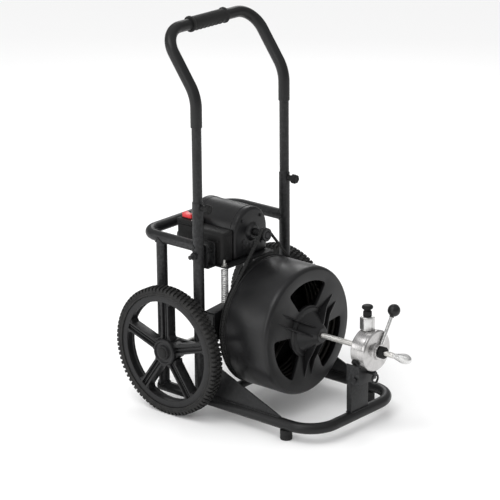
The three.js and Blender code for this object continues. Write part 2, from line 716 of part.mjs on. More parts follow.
function feedCollar() {
  const plate = turnedY([
    [8, FEED_SPLIT_Y], [COLLAR_R, FEED_SPLIT_Y], [COLLAR_R, FEED_FRONT_Y + 3], [COLLAR_R - 3, FEED_FRONT_Y],
    [19, FEED_FRONT_Y], [18, FEED_SPIGOT_Y], [8, FEED_SPIGOT_Y],
  ], 24, true);
  const socket = turnedZ(rod(4.2, 12, 30), 12).rotateY(LEVER_ANGLE).translate(0, LEVER_Y, 0);
  return cut(plate, socket);
}

function hexBushing() {
  const hex = turnedZ([[5.4, 46.6], [17, 46.6], [17, 74], [15.5, 76], [5.4, 76]], 6, true).rotateZ(HEX_TURN);
  const spigot = turnedZ(ring(12, 5.4, 37, 47), 16, true);
  return cut(join(hex, spigot), turnedZ(rod(5.6, 20, 80), 12));
}

function feedKnob() {
  return turnedZ([
    [0, 24.5], [4.7, 24.5], [4.7, 76.5], [9.8, 76.5], [9.8, 88], [8.5, 90], [6.5, 91.5], [11, 94],
    [12.8, 97], [12, 101], [7, 103], [0, 103],
  ], 12);
}

function rollerPlug(angle) {
  const plug = turnedZ([[0, 38], [10, 38], [10, 50], [8.5, 51.5], [5, 51.5], [5, 47], [0, 47]], 12);
  return plug.rotateY(angle).translate(0, KNOB_Y, 0);
}

function feedRoller() {
  return turnedY([
    [0, -354.5], [3, -354.5], [3, -359], [6.8, -359], [8, -361], [8, -377], [6.8, -379], [3, -379],
    [3, FEED_SPLIT_Y + 0.4], [0, FEED_SPLIT_Y + 0.4],
  ], 12);
}

function lockPin() {
  const eyeR = 10;
  const pin = turnedY(rod(4, -387, -347), 12);
  const eye = new THREE.TorusGeometry(eyeR, 2.5, 6, 14).rotateX(Math.PI / 2).translate(0, -389, -1.5 - eyeR);
  return join(pin, eye);
}

add('feed_housing', feedHousing(), castAluminium, 0, 0, DRUM_Z);
add('feed_collar', feedCollar(), castAluminium, 0, 0, DRUM_Z);
add('hex_bushing', hexBushing(), castAluminium, 0, KNOB_Y, DRUM_Z);
add('feed_knob', feedKnob(), blackPlastic, 0, KNOB_Y, DRUM_Z);
add('nose_ring', turnedY(ring(13.5, 8, FEED_SPIGOT_Y - 0.4, -417), 16, true), blackPlastic, 0, 0, DRUM_Z);
add('lock_pin', lockPin(), blackPaint, 0, 0, LOCK_PIN_Z);
add('lever_rod', turnedZ(rod(3.8, 13, BALL_REACH - 4), 12).rotateY(LEVER_ANGLE), brightSteel, 0, LEVER_Y, DRUM_Z);
add('lever_ball', leverBall(), blackPlastic, 0, LEVER_Y, DRUM_Z);

function leverBall() {
  const ball = new THREE.SphereGeometry(BALL_RADIUS, 12, 8).rotateX(Math.PI / 2).translate(0, 0, BALL_REACH);
  const bore = turnedZ(rod(4.2, BALL_REACH - 20, BALL_REACH - 3.6), 12);
  return cut(ball, bore).rotateY(LEVER_ANGLE);
}

for (const [label, side] of sides) {
  add(`${label}_roller_plug`, rollerPlug(side * PLUG_ANGLE), blackPlastic, 0, 0, DRUM_Z);
}

for (const [label, angle] of [['upper', 0], ['left', PLUG_ANGLE], ['right', -PLUG_ANGLE]]) {
  add(`${label}_feed_roller`, feedRoller(), greySteel,
    ROLLER_REACH * Math.sin(angle), 0, DRUM_Z + ROLLER_REACH * Math.cos(angle));
}

// ---------------------------------------------------------------- origin

// The origin is on the ground, under the middle of the machine's overall box.
machine.position.y = -(TIP_Y + WHEEL_Y + WHEEL_R) / 2;

export default machine;
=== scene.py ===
import random
from math import acos, atan2, cos, pi, radians, sin, sqrt, tan

import bmesh
import bpy
from mathutils import Matrix, Vector
from mathutils.geometry import delaunay_2d_cdt


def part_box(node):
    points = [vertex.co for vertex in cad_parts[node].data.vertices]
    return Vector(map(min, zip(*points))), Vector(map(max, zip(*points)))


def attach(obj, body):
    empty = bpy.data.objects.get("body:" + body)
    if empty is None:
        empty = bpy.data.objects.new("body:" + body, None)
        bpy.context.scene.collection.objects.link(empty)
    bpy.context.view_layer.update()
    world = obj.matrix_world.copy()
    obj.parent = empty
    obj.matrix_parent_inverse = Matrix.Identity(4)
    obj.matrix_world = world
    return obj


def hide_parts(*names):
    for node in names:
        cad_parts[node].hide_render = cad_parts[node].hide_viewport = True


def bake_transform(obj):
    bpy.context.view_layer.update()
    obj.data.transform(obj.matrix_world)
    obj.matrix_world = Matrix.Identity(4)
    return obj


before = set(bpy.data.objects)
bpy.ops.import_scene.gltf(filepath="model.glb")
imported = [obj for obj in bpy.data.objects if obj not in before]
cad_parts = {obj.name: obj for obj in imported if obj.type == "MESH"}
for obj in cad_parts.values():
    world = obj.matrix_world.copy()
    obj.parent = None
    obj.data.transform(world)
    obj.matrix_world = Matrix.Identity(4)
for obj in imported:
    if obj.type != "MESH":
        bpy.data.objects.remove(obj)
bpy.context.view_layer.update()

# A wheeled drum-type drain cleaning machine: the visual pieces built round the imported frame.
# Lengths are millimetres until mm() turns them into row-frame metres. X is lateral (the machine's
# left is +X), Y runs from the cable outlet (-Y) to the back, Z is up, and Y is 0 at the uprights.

TAU = 2 * pi
METRE = 1000.0  # in millimetres


def middle(node):
    low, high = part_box(node)
    return (low + high) / 2


UPRIGHT_Y = middle("left_upright").y


def mm(x, y, z):
    return Vector((x / METRE, y / METRE + UPRIGHT_Y, z / METRE))


def centre_mm(node):
    point = middle(node) * METRE
    return Vector((point.x, point.y - UPRIGHT_Y * METRE, point.z))


# ------------------------------------------------------------------ driving sizes, in millimetres

TUBE_R = 12.7
SIDE_X = centre_mm("left_upright").x
RAIL_Z = centre_mm("rear_cross_tube").z
CROSS_Y = centre_mm("rear_cross_tube").y
LEG_Y = centre_mm("left_rear_leg").y
LOOP_Z = centre_mm("top_loop").z
UPRIGHT_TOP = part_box("left_upright")[1].z * METRE
AXLE = centre_mm("wheel_axle")
DRUM_Z = centre_mm("drum_shell").z
DRUM_AT = (0, 0, DRUM_Z)
MOTOR_Z = centre_mm("motor_body").z
PIVOT_Z = centre_mm("pivot_bolt").z
GRIP = centre_mm("handle_grip")
SIDES = (("right", -1), ("left", 1))

# ------------------------------------------------------------------ camera, light and floor


def add_camera():
    azimuth, elevation, roll = radians(-49.1), radians(18.6), radians(-0.5)
    distance, target = 5.5771, mm(26.7, 0, 345.5)
    back = Vector((sin(azimuth) * cos(elevation), -cos(azimuth) * cos(elevation), sin(elevation)))
    right = Vector((0, 0, 1)).cross(back).normalized()
    up = back.cross(right)
    turned_right = right * cos(roll) + up * sin(roll)
    turned_up = up * cos(roll) - right * sin(roll)
    data = bpy.data.cameras.new("camera")
    data.sensor_width = 36
    data.lens = 173.8
    data.clip_end = 100
    camera = bpy.data.objects.new("camera", data)
    bpy.context.scene.collection.objects.link(camera)
    rotation = Matrix((turned_right, turned_up, back)).transposed().to_4x4()
    camera.matrix_world = Matrix.Translation(target + back * distance) @ rotation
    bpy.context.scene.camera = camera


def add_area(name, place, aim, size, power):
    data = bpy.data.lights.new(name, "AREA")
    data.shape = "RECTANGLE"
    data.size, data.size_y = size
    data.energy = power
    light = bpy.data.objects.new(name, data)
    light.location = place
    light.rotation_euler = (Vector(aim) - Vector(place)).to_track_quat("-Z", "Y").to_euler()
    bpy.context.scene.collection.objects.link(light)


def add_world():
    """Soft studio surroundings, brighter overhead; the camera itself sees plain white."""
    world = bpy.data.worlds.new("studio")
    bpy.context.scene.world = world
    world.use_nodes = True
    nodes, links = world.node_tree.nodes, world.node_tree.links
    nodes.clear()
    coordinates = nodes.new("ShaderNodeTexCoord")
    split = nodes.new("ShaderNodeSeparateXYZ")
    links.new(coordinates.outputs["Generated"], split.inputs[0])
    ramp = nodes.new("ShaderNodeValToRGB")
    walls, ceiling = ramp.color_ramp.elements
    walls.position, walls.color = 0.0, (0.30, 0.30, 0.30, 1)
    ceiling.position, ceiling.color = 0.85, (0.95, 0.95, 0.96, 1)
    links.new(split.outputs["Z"], ramp.inputs[0])

    def background(strength):
        node = nodes.new("ShaderNodeBackground")
        node.inputs[0].default_value = (1, 1, 1, 1)
        node.inputs[1].default_value = strength
        return node

    room, ambient, plain = background(0.62), background(1.05), background(1)
    links.new(ramp.outputs[0], room.inputs[0])
    path = nodes.new("ShaderNodeLightPath")
    seen = room.outputs[0]
    for ray, shown in (("Is Diffuse Ray", ambient), ("Is Camera Ray", plain)):
        mix = nodes.new("ShaderNodeMixShader")
        links.new(path.outputs[ray], mix.inputs[0])
        links.new(seen, mix.inputs[1])
        links.new(shown.outputs[0], mix.inputs[2])
        seen = mix.outputs[0]
    output = nodes.new("ShaderNodeOutputWorld")
    links.new(seen, output.inputs[0])


def add_stage():
    mesh = bpy.data.meshes.new("floor")
    reach = 30
    corners = [(-reach, -reach, 0), (reach, -reach, 0), (reach, reach, 0), (-reach, reach, 0)]
    mesh.from_pydata(corners, [], [(0, 1, 2, 3)])
    floor = bpy.data.objects.new("floor", mesh)
    bpy.context.scene.collection.objects.link(floor)
    material = bpy.data.materials.new("floor")
    material.use_nodes = True
    shader = material.node_tree.nodes["Principled BSDF"]
    shader.inputs["Base Color"].default_value = (0.93, 0.93, 0.93, 1)
    shader.inputs["Roughness"].default_value = 0.9
    shader.inputs["Specular IOR Level"].default_value = 0.1
    mesh.materials.append(material)


add_camera()
add_world()
add_stage()
# Place, point it is aimed at and size in metres, then the power in watts.
add_area("key", (-1.5, 0.3, 2.8), (0, 0.1, 0.3), (1.8, 1.2), 22)
add_area("fill", (-3.3, -0.1, 1.4), (0, 0, 0.35), (1.4, 1.8), 22)
add_area("rim", (2.0, 1.6, 1.8), (0, 0.1, 0.35), (1.0, 1.6), 12)
add_area("side", (-2.6, 2.3, 1.0), (0, 0.1, 0.25), (1.6, 1.3), 16)
bpy.context.scene.view_settings.view_transform = "Standard"

# ------------------------------------------------------------------ materials


class Nodes:
    """A material's node tree, with short calls for what every finish here is made from."""

    def __init__(self, name):
        self.material = bpy.data.materials.new(name + "_finish")
        self.material.use_nodes = True
        self.tree = self.material.node_tree
        self.shader = self.tree.nodes["Principled BSDF"]
        self.place = self.add("ShaderNodeTexCoord").outputs["Object"]

    def add(self, kind, **settings):
        node = self.tree.nodes.new(kind)
        for key, value in settings.items():
            setattr(node, key, value)
        return node

    def link(self, source, target):
        self.tree.links.new(source, target)

    def noise(self, scale, detail=3, stretch=(1, 1, 1), place=None):
        mapping = self.add("ShaderNodeMapping")
        mapping.inputs["Scale"].default_value = stretch
        self.link(place or self.place, mapping.inputs["Vector"])
        node = self.add("ShaderNodeTexNoise")
        node.inputs["Scale"].default_value = scale
        node.inputs["Detail"].default_value = detail
        self.link(mapping.outputs[0], node.inputs["Vector"])
        return node.outputs["Fac"]

    def ramp(self, source, low, high, at_low, at_high):
        """Maps source from low..high to at_low..at_high."""
        node = self.add("ShaderNodeMapRange")
        for key, value in (("From Min", low), ("From Max", high), ("To Min", at_low), ("To Max", at_high)):
            node.inputs[key].default_value = value
        self.link(source, node.inputs["Value"])
        return node.outputs[0]

    def math(self, operation, first, second):
        node = self.add("ShaderNodeMath", operation=operation)
        for socket, value in zip(node.inputs, (first, second)):
            if isinstance(value, (int, float)):
                socket.default_value = value
            else:
                self.link(value, socket)
        return node.outputs[0]

    def mix(self, factor, first, second):
        node = self.add("ShaderNodeMix", data_type="RGBA")
        self.link(factor, node.inputs["Factor"])
        for socket, value in ((node.inputs[6], first), (node.inputs[7], second)):
            if isinstance(value, (tuple, list)):
                socket.default_value = (*value, 1)
            else:
                self.link(value, socket)
        return node.outputs[2]

    def bump(self, *heights):
        """heights are (source, strength, distance in metres)."""
        previous = None
        for source, strength, distance in heights:
            node = self.add("ShaderNodeBump")
            node.inputs["Strength"].default_value = strength
            node.inputs["Distance"].default_value = distance
            self.link(source, node.inputs["Height"])
            if previous:
                self.link(previous, node.inputs["Normal"])
            previous = node.outputs[0]
        self.link(previous, self.shader.inputs["Normal"])

    def set(self, **values):
        for key, value in values.items():
            self.shader.inputs[key.replace("_", " ")].default_value = value


def coated_finish(name, colour, worn, roughness, grain_scale, grain_depth, dust=0.0, coat=0.0, specular=0.3):
    """Paint, plastic or rubber: cloudy colour, uneven gloss, a fine grain, paler worn edges and some dust."""
    n = Nodes(name)
    cloud = n.noise(9, 4)
    base = n.mix(n.ramp(cloud, 0.3, 0.7, 0, 1), colour, tuple(c * 1.5 for c in colour))
    edge = n.add("ShaderNodeNewGeometry").outputs["Pointiness"]
    wear = n.math("MULTIPLY", n.ramp(edge, 0.53, 0.62, 0, 1), n.ramp(n.noise(160, 3), 0.42, 0.68, 0, 0.55))
    base = n.mix(wear, base, worn)
    if dust:
        facing = n.add("ShaderNodeSeparateXYZ")
        n.link(n.add("ShaderNodeNewGeometry").outputs["Normal"], facing.inputs[0])
        above = n.ramp(facing.outputs["Z"], 0.3, 1, 0, dust)
        lying = n.math("MULTIPLY", above, n.ramp(n.noise(45, 5), 0.35, 0.75, 0, 1))
        base = n.mix(lying, base, (0.10, 0.098, 0.094))
    n.link(base, n.shader.inputs["Base Color"])
    smear = n.noise(24, 5, (1, 1, 0.35))
    n.link(n.ramp(smear, 0.25, 0.75, roughness - 0.06, roughness + 0.10), n.shader.inputs["Roughness"])
    n.bump((n.noise(grain_scale, 2), grain_depth, 0.0006), (n.noise(30, 2), 0.05, 0.002))
    n.set(Specular_IOR_Level=specular)
    if coat:
        n.set(Coat_Weight=coat, Coat_Roughness=0.12)
    return n.material


def metal_finish(name, colour, dull, roughness, scratch=(1, 1, 1), scratch_scale=300, depth=0.15):
    """Bare or plated metal: fine scratches, a cloudy tarnish and uneven polish."""
    n = Nodes(name)
    tarnish = n.ramp(n.noise(35, 5), 0.4, 0.75, 0, 0.7)
    n.link(n.mix(tarnish, colour, dull), n.shader.inputs["Base Color"])
    lines = n.noise(scratch_scale, 3, scratch)
    uneven = n.ramp(tarnish, 0, 0.7, roughness, roughness + 0.12)
    gloss = n.math("ADD", n.ramp(lines, 0.3, 0.7, -0.05, 0.07), uneven)
    n.link(gloss, n.shader.inputs["Roughness"])
    n.bump((lines, depth, 0.0002))
    n.set(Metallic=1.0)
    return n.material


def turned_finish(name, axis_point, colour, dull):
    """Turned aluminium: fine rings about an axis along Y, on end faces and round the sides alike, with a
    painted reflection of darker sectors round the axis.
    """
    n = Nodes(name)
    shift = n.add("ShaderNodeVectorMath", operation="SUBTRACT")
    n.link(n.place, shift.inputs[0])
    shift.inputs[1].default_value = axis_point
    split = n.add("ShaderNodeSeparateXYZ")
    n.link(shift.outputs[0], split.inputs[0])
    squared = n.math("ADD", n.math("MULTIPLY", split.outputs["X"], split.outputs["X"]),
                     n.math("MULTIPLY", split.outputs["Z"], split.outputs["Z"]))
    radius = n.math("SQRT", squared, 0)
    ring_place = n.add("ShaderNodeCombineXYZ")
    n.link(radius, ring_place.inputs[0])
    n.link(split.outputs["Y"], ring_place.inputs[1])
    rings = n.noise(900, 4, (1, 1, 1), ring_place.outputs[0])
    # Painted reflection: broad sectors round the axis get a darker base colour. They stand in for the bright
    # and dark fans of reflection on the turned face.
    angle = n.math("ARCTAN2", split.outputs["X"], split.outputs["Z"])
    fans = n.add("ShaderNodeCombineXYZ")
    n.link(angle, fans.inputs[0])
    painted_reflection_sectors = n.noise(2.2, 2, (1, 1, 1), fans.outputs[0])
    tone = n.mix(n.ramp(rings, 0.3, 0.7, 0, 0.6), colour, dull)
    painted_reflection_dark = tuple(c * 0.55 for c in dull)
    n.link(n.mix(n.ramp(painted_reflection_sectors, 0.45, 0.7, 0, 0.35), tone, painted_reflection_dark), n.shader.inputs["Base Color"])
    n.link(n.ramp(rings, 0.3, 0.7, 0.2, 0.34), n.shader.inputs["Roughness"])
    n.bump((rings, 0.25, 0.00025))
    n.set(Metallic=1.0, Anisotropic=0.5)
    return n.material


def tyre_finish():
    n = Nodes("tyre_rubber")
    grime = n.ramp(n.noise(60, 5), 0.35, 0.7, 0, 1)
    n.link(n.mix(grime, (0.009, 0.009, 0.009), (0.018, 0.0175, 0.0165)), n.shader.inputs["Base Color"])
    n.set(Specular_IOR_Level=0.35)
    n.link(n.ramp(n.noise(80, 4), 0.3, 0.7, 0.58, 0.8), n.shader.inputs["Roughness"])
    n.bump((n.noise(900, 2), 0.25, 0.0004), (n.noise(120, 3), 0.2, 0.0006))
    return n.material


# Colour, colour where it is worn, roughness, then the scale and the depth of the grain.
frame_paint = coated_finish("frame_paint", (0.0075, 0.0077, 0.008), (0.05, 0.052, 0.055), 0.38, 1500, 0.12,
                            dust=0.05)
motor_paint = coated_finish("motor_paint", (0.0075, 0.0075, 0.008), (0.045, 0.045, 0.047), 0.34, 1100, 0.12,
                            dust=0.05)
drum_plastic = coated_finish("drum_plastic", (0.006, 0.006, 0.0065), (0.02, 0.02, 0.02), 0.36, 1800, 0.04,
                             dust=0.02, specular=0.38)
black_plastic = coated_finish("black_plastic", (0.0085, 0.0085, 0.0085), (0.03, 0.03, 0.03), 0.42, 2600, 0.3,
                              specular=0.16)
wheel_plastic = coated_finish("wheel_plastic", (0.0085, 0.0085, 0.009), (0.03, 0.03, 0.03), 0.42, 2200, 0.2,
                              dust=0.05)
grip_rubber = coated_finish("grip_rubber", (0.009, 0.009, 0.009), (0.02, 0.02, 0.02), 0.62, 1800, 0.5)
belt_rubber = coated_finish("belt_rubber", (0.009, 0.009, 0.009), (0.04, 0.04, 0.038), 0.66, 1200, 0.5)
red_plastic = coated_finish("red_plastic", (0.50, 0.012, 0.018), (0.62, 0.10, 0.09), 0.3, 1500, 0.1,
                            coat=0.2, specular=0.5)
tyre_rubber = tyre_finish()
cable_steel = metal_finish("cable_steel", (0.78, 0.77, 0.74), (0.5, 0.48, 0.45), 0.27, (1, 0.2, 1), 500)
# Painted shade: the coiled cable's steel is a darkened copy of cable_steel, standing in for the shade inside
# the drum, with a little oil.
shaded_coil_steel = metal_finish("shaded_coil_steel", (0.055, 0.052, 0.048), (0.025, 0.022, 0.02), 0.5, (1, 0.2, 1), 500)
spring_steel = metal_finish("spring_steel", (0.9, 0.9, 0.89), (0.75, 0.75, 0.74), 0.42, (1, 1, 1), 300, 0.1)
bright_steel = metal_finish("bright_steel", (0.78, 0.78, 0.77), (0.58, 0.58, 0.57), 0.24, (1, 1, 0.2), 400,
                            0.08)
zinc_steel = metal_finish("zinc_steel", (0.5, 0.5, 0.48), (0.3, 0.29, 0.27), 0.36, (1, 1, 1), 260)
dark_steel = metal_finish("dark_steel", (0.05, 0.05, 0.052), (0.03, 0.03, 0.03), 0.45, (1, 1, 1), 300)
feed_aluminium = turned_finish("feed_aluminium", mm(0, 0, DRUM_Z), (0.60, 0.59, 0.585), (0.42, 0.41, 0.405))
hex_aluminium = metal_finish("hex_aluminium", (0.72, 0.72, 0.71), (0.55, 0.55, 0.54), 0.3, (6, 6, 0.3), 220,
                             0.3)

# ------------------------------------------------------------------ mesh building
# A part is (vertices, faces), in millimetres. piece() makes one object of several parts.


def merged(parts):
    vertices, faces = [], []
    for part_vertices, part_faces in parts:
        start = len(vertices)
        vertices.extend(part_vertices)
        faces.extend([[i + start for i in face] for face in part_faces])
    return vertices, faces


def moved(part, matrix):
    return [matrix @ Vector(v) for v in part[0]], part[1]


def piece(name, parts, material, body, replaces=(), sharp=32):
    """One object of several parts, attached to the CAD body named by body. Any other body, such as
    (body, body, start, end), is not used: the piece stays unattached, with its transform baked in."""
    vertices, faces = merged(parts)
    mesh = bpy.data.meshes.new(name)
    mesh.from_pydata([mm(*v) for v in vertices], [], faces)
    work = bmesh.new()
    work.from_mesh(mesh)
    bmesh.ops.remove_doubles(work, verts=work.verts, dist=2e-6)
    bmesh.ops.dissolve_degenerate(work, edges=work.edges, dist=1e-6)
    bmesh.ops.recalc_face_normals(work, faces=work.faces)
    for face in work.faces:
        face.smooth = True
    for edge in work.edges:
        edge.smooth = len(edge.link_faces) == 2 and edge.calc_face_angle(0) < radians(sharp)
    work.to_mesh(mesh)
    work.free()
    mesh.materials.append(material)
    made = bpy.data.objects.new(name, mesh)
    bpy.context.scene.collection.objects.link(made)
    if isinstance(body, str):
        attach(made, body)
    else:
        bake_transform(made)
    if replaces:
        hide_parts(*replaces)
    return made


def loft(rings, closed=False, caps=True):
    """Skins a list of rings of equal length; a ring of one point is a tip."""
    vertices, starts = [], []
    for ring in rings:
        starts.append(len(vertices))
        vertices.extend(ring)
    faces = []
    count = len(rings)
    for i in range(count if closed else count - 1):
        a, b = rings[i], rings[(i + 1) % count]
        start_a, start_b = starts[i], starts[(i + 1) % count]
        size = max(len(a), len(b))
        for j in range(size):
            k = (j + 1) % size
            if len(a) == 1:
                faces.append([start_a, start_b + j, start_b + k])
            elif len(b) == 1:
                faces.append([start_a + j, start_b, start_a + k])
            else:
                faces.append([start_a + j, start_b + j, start_b + k, start_a + k])
    if caps and not closed:
        for i in (0, count - 1):
            if len(rings[i]) > 1:
                faces.append([starts[i] + j for j in range(len(rings[i]))])
    return vertices, faces


def bent(start, corner, end, steps):
    """Points from start to end on a curve that the corner pulls towards itself."""
    shares = [k / steps for k in range(steps + 1)]
    return [tuple(start * (1 - t) ** 2 + corner * 2 * t * (1 - t) + end * t ** 2) for t in shares]


def rounded(points, radius, steps=3, closed=True):
    """A flat outline with its corners rounded, each by at most 45% of its shorter side."""
    count, result = len(points), []
    for i, point in enumerate(points):
        here = Vector(point)
        r = radius[i] if isinstance(radius, (list, tuple)) else radius
        if r <= 0 or (not closed and i in (0, count - 1)):
            result.append(tuple(here))
            continue
        back = Vector(points[i - 1]) - here
        ahead = Vector(points[(i + 1) % count]) - here
        angle = back.angle(ahead, pi)
        if angle > pi - 0.05:
            result.append(tuple(here))
            continue
        reach = min(r / tan(angle / 2), 0.45 * back.length, 0.45 * ahead.length)
        start, end = here + back.normalized() * reach, here + ahead.normalized() * reach
        result += bent(start, here, end, steps)
    return result


def on_axis(axis, r, angle, along):
    if axis == "X":
        return Vector((along, r * cos(angle), r * sin(angle)))
    if axis == "Y":
        return Vector((r * sin(angle), along, r * cos(angle)))
    return Vector((r * cos(angle), r * sin(angle), along))


def turned(profile, centre=(0, 0, 0), axis="Y", sides=64, closed=False, shape=None):
    """A solid of revolution. profile is [radius, along]; shape(r, along, angle) can change the radius."""
    centre = Vector(centre)
    rings = []
    for r, along in profile:
        if r < 1e-6:
            rings.append([on_axis(axis, 0, 0, along) + centre])
            continue
        ring = []
        for j in range(sides):
            angle = TAU * j / sides
            radius = shape(r, along, angle) if shape else r
            ring.append(on_axis(axis, radius, angle, along) + centre)
        rings.append(ring)
    return loft(rings, closed)


def tube_route(corners, radii, bend_steps=12):
    """Corner points joined by straight runs and round bends."""
    corners = [Vector(c) for c in corners]
    points = [corners[0]]
    for i in range(1, len(corners) - 1):
        back = (corners[i - 1] - corners[i]).normalized()
        ahead = (corners[i + 1] - corners[i]).normalized()
        half = back.angle(ahead) / 2
        radius = radii[i - 1]
        centre = corners[i] + (back + ahead).normalized() * (radius / sin(half))
        start = corners[i] + back * (radius / tan(half)) - centre
        axis = start.cross(back).normalized()
        turn = pi - 2 * half
        for k in range(bend_steps + 1):
            points.append(Matrix.Rotation(-turn * k / bend_steps, 3, axis) @ start + centre)
    points.append(corners[-1])
    return points


def frames_along(points, closed=False):
    """Tangent and two side directions at each point, carried along without twist."""
    count = len(points)
    frames, side = [], None
    for i, point in enumerate(points):
        before = points[i - 1] if closed or i > 0 else point
        after = points[(i + 1) % count] if closed or i < count - 1 else point
        tangent = (after - before).normalized()
        if side is None:
            guess = Vector((0, 0, 1)) if abs(tangent.z) < 0.8 else Vector((1, 0, 0))
            side = (guess - tangent * guess.dot(tangent)).normalized()
        else:
            side = (side - tangent * side.dot(tangent)).normalized()
        frames.append((tangent, side, tangent.cross(side)))
    return frames


def ring_at(point, frame_here, radius, sides):
    side, other = frame_here[1], frame_here[2]
    turns = [TAU * j / sides for j in range(sides)]
    return [point + side * (radius * cos(turn)) + other * (radius * sin(turn)) for turn in turns]


def slid_onto(ring, direction, cylinder):
    """Moves each point along direction onto a cylinder, given as (a point on its axis, axis, radius)."""
    origin, axis, radius = Vector(cylinder[0]), Vector(cylinder[1]), cylinder[2]
    run = direction - axis * direction.dot(axis)
    result = []
    for point in ring:
        offset = point - origin
        flat = offset - axis * offset.dot(axis)
        b, c = flat.dot(run), flat.length_squared - radius * radius
        root = max(b * b - run.length_squared * c, 0)
        result.append(point + direction * ((-b - sqrt(root)) / run.length_squared))
    return result


def swept(points, radius, sides=28, bore=None, bore_depth=25, closed=False, wave=None, onto=(None, None)):
    """A round bar or tube along points. A bore shows the wall at the free ends, wave(i) scales the radius,
    and onto says which cylinders the ends are cut to fit against."""
    points = [Vector(p) for p in points]
    frames = frames_along(points, closed)
    rings = []
    for i, (point, here) in enumerate(zip(points, frames)):
        rings.append(ring_at(point, here, radius * (wave(i) if wave else 1), sides))
    if closed:
        return loft(rings, closed=True)
    lip = min(0.8, radius * 0.15)
    for end, way in ((0, 1), (-1, -1)):
        place, here = points[end], frames[end]
        inward = here[0] * way
        if onto[end]:
            fitted = []
            for share in (0.05, 0.4, 0.75, 1):
                disc = ring_at(place + inward * 2 * radius, here, radius * share, sides)
                fitted.append(slid_onto(disc, -inward, onto[end]))
            rings = fitted + rings[1:] if end == 0 else rings[:-1] + fitted[::-1]
            continue
        extra = [ring_at(place, here, radius - lip, sides)]
        if bore:
            extra += [ring_at(place + inward * depth, here, bore, sides) for depth in (0, bore_depth)]
        rings[end] = ring_at(place + inward * lip, here, radius, sides)
        rings = extra[::-1] + rings if end == 0 else rings + extra
    return loft(rings)


def seam(place, direction, radius, cylinder, seed=1, bead=2.0):
    """The weld bead where a tube of this radius, running along direction, meets a crossing cylinder."""
    direction = Vector(direction).normalized()
    here = frames_along([Vector(place), Vector(place) + direction])[0]
    ring = ring_at(Vector(place) - direction * 2 * radius, here, radius + 0.6, 32)
    grown = (cylinder[0], cylinder[1], max(cylinder[2], radius + 0.6))
    return weld(slid_onto(ring, direction, grown), bead, seed)


def rippled(count, seed):
    """Scales for the radius of a weld bead, one for each point of its route."""
    source = random.Random(seed)
    return [1 + 0.16 * cos(i * pi) + 0.1 * source.uniform(-1, 1) for i in range(count)]


def weld(ring, radius=2.2, seed=1):
    """A rippled weld bead along a closed ring of points."""
    ring = [Vector(p) for p in ring]
    dense = []
    for i, point in enumerate(ring):
        following = ring[(i + 1) % len(ring)]
        dense.extend([point, point.lerp(following, 0.5)])
    ripple = rippled(len(dense), seed)
    return swept(dense, radius, 8, closed=True, wave=lambda i: ripple[i])


def weld_line(start, end, radius=2.0, seed=1):
    """A rippled weld bead along a straight seam."""
    start, end = Vector(start), Vector(end)
    count = max(4, int((end - start).length / 1.6))
    ripple = rippled(count + 1, seed)
    return swept([start.lerp(end, i / count) for i in range(count + 1)], radius, 8, wave=lambda i: ripple[i])


def area_of(ring):
    return sum(a[0] * b[1] - b[0] * a[1] for a, b in zip(ring, ring[1:] + ring[:1])) / 2


def inset(ring, distance):
    """The outline moved to its left by distance, corners mitred."""
    result = []
    count = len(ring)
    for i in range(count):
        here = Vector(ring[i])
        back = (here - Vector(ring[i - 1])).normalized()
        ahead = (Vector(ring[(i + 1) % count]) - here).normalized()
        normal_a, normal_b = Vector((-back.y, back.x)), Vector((-ahead.y, ahead.x))
        result.append(here + (normal_a + normal_b) * (distance / max(0.35, 1 + normal_a.dot(normal_b))))
    return result


def encloses(ring, point):
    """Whether a closed outline goes round the point."""
    inside = False
    for i, b in enumerate(ring):
        a = ring[i - 1]
        if (a[1] > point[1]) != (b[1] > point[1]):
            crossing = a[0] + (b[0] - a[0]) * (point[1] - a[1]) / (b[1] - a[1])
            inside = inside != (point[0] < crossing)
    return inside


def plate(outline, holes=(), thickness=4.0, edge=0.6, axis="Z", base=0.0, edge_steps=2):
    """A flat plate with rounded edges, from base up along the axis. Its outline is (y, z) across X,
    (x, z) across Y and (x, y) across Z."""
    rings = []
    for index, ring in enumerate([outline, *holes]):
        ring = [tuple(p) for p in ring]
        wanted = 1 if index == 0 else -1
        rings.append(ring if area_of(ring) * wanted > 0 else ring[::-1])
    levels = []
    for k in range(edge_steps + 1):
        turn = pi / 2 * k / edge_steps
        levels.append((edge * (1 - cos(turn)), thickness - edge + edge * sin(turn)))
    below = [(distance, thickness - height) for distance, height in reversed(levels)]

    def lifted(p, height):
        if axis == "X":
            return Vector((base + height, p[0], p[1]))
        if axis == "Y":
            return Vector((p[0], base + height, p[1]))
        return Vector((p[0], p[1], base + height))

    parts = []
    for ring in rings:
        layers = [[lifted(p, h) for p in inset(ring, d)] for d, h in below + levels]
        parts.append(loft(layers, caps=False))
    flat, edges, inner = [], [], [inset(ring, edge) for ring in rings]
    for ring in inner:
        start = len(flat)
        flat.extend(ring)
        edges.extend([(start + i, start + (i + 1) % len(ring)) for i in range(len(ring))])
    points, _, faces, _, _, _ = delaunay_2d_cdt(flat, edges, [], 1, 1e-6)
    kept = []
    for face in faces:
        centre = sum((Vector(points[i]) for i in face), Vector((0, 0))) / len(face)
        if not any(encloses(ring, centre) for ring in inner[1:]):
            kept.append(list(face))
    for height in (0, thickness):
        parts.append(([lifted(p, height) for p in points], kept))
    return merged(parts)


def rectangle(x0, x1, y0, y1, corner=1.5, steps=3):
    return rounded([(x0, y0), (x1, y0), (x1, y1), (x0, y1)], corner, steps)


def block(x0, x1, y0, y1, z0, z1, edge=1.0, corner=2.0):
    return plate(rectangle(x0, x1, y0, y1, corner), (), z1 - z0, edge, "Z", z0)


def disc_outline(radius, sides=48, centre=(0, 0)):
    turns = [TAU * j / sides for j in range(sides)]
    return [(centre[0] + radius * cos(turn), centre[1] + radius * sin(turn)) for turn in turns]


def hexagon(across, turn=0.0):
    reach = across / sqrt(3)
    return [(reach * cos(turn + TAU * j / 6), reach * sin(turn + TAU * j / 6)) for j in range(6)]


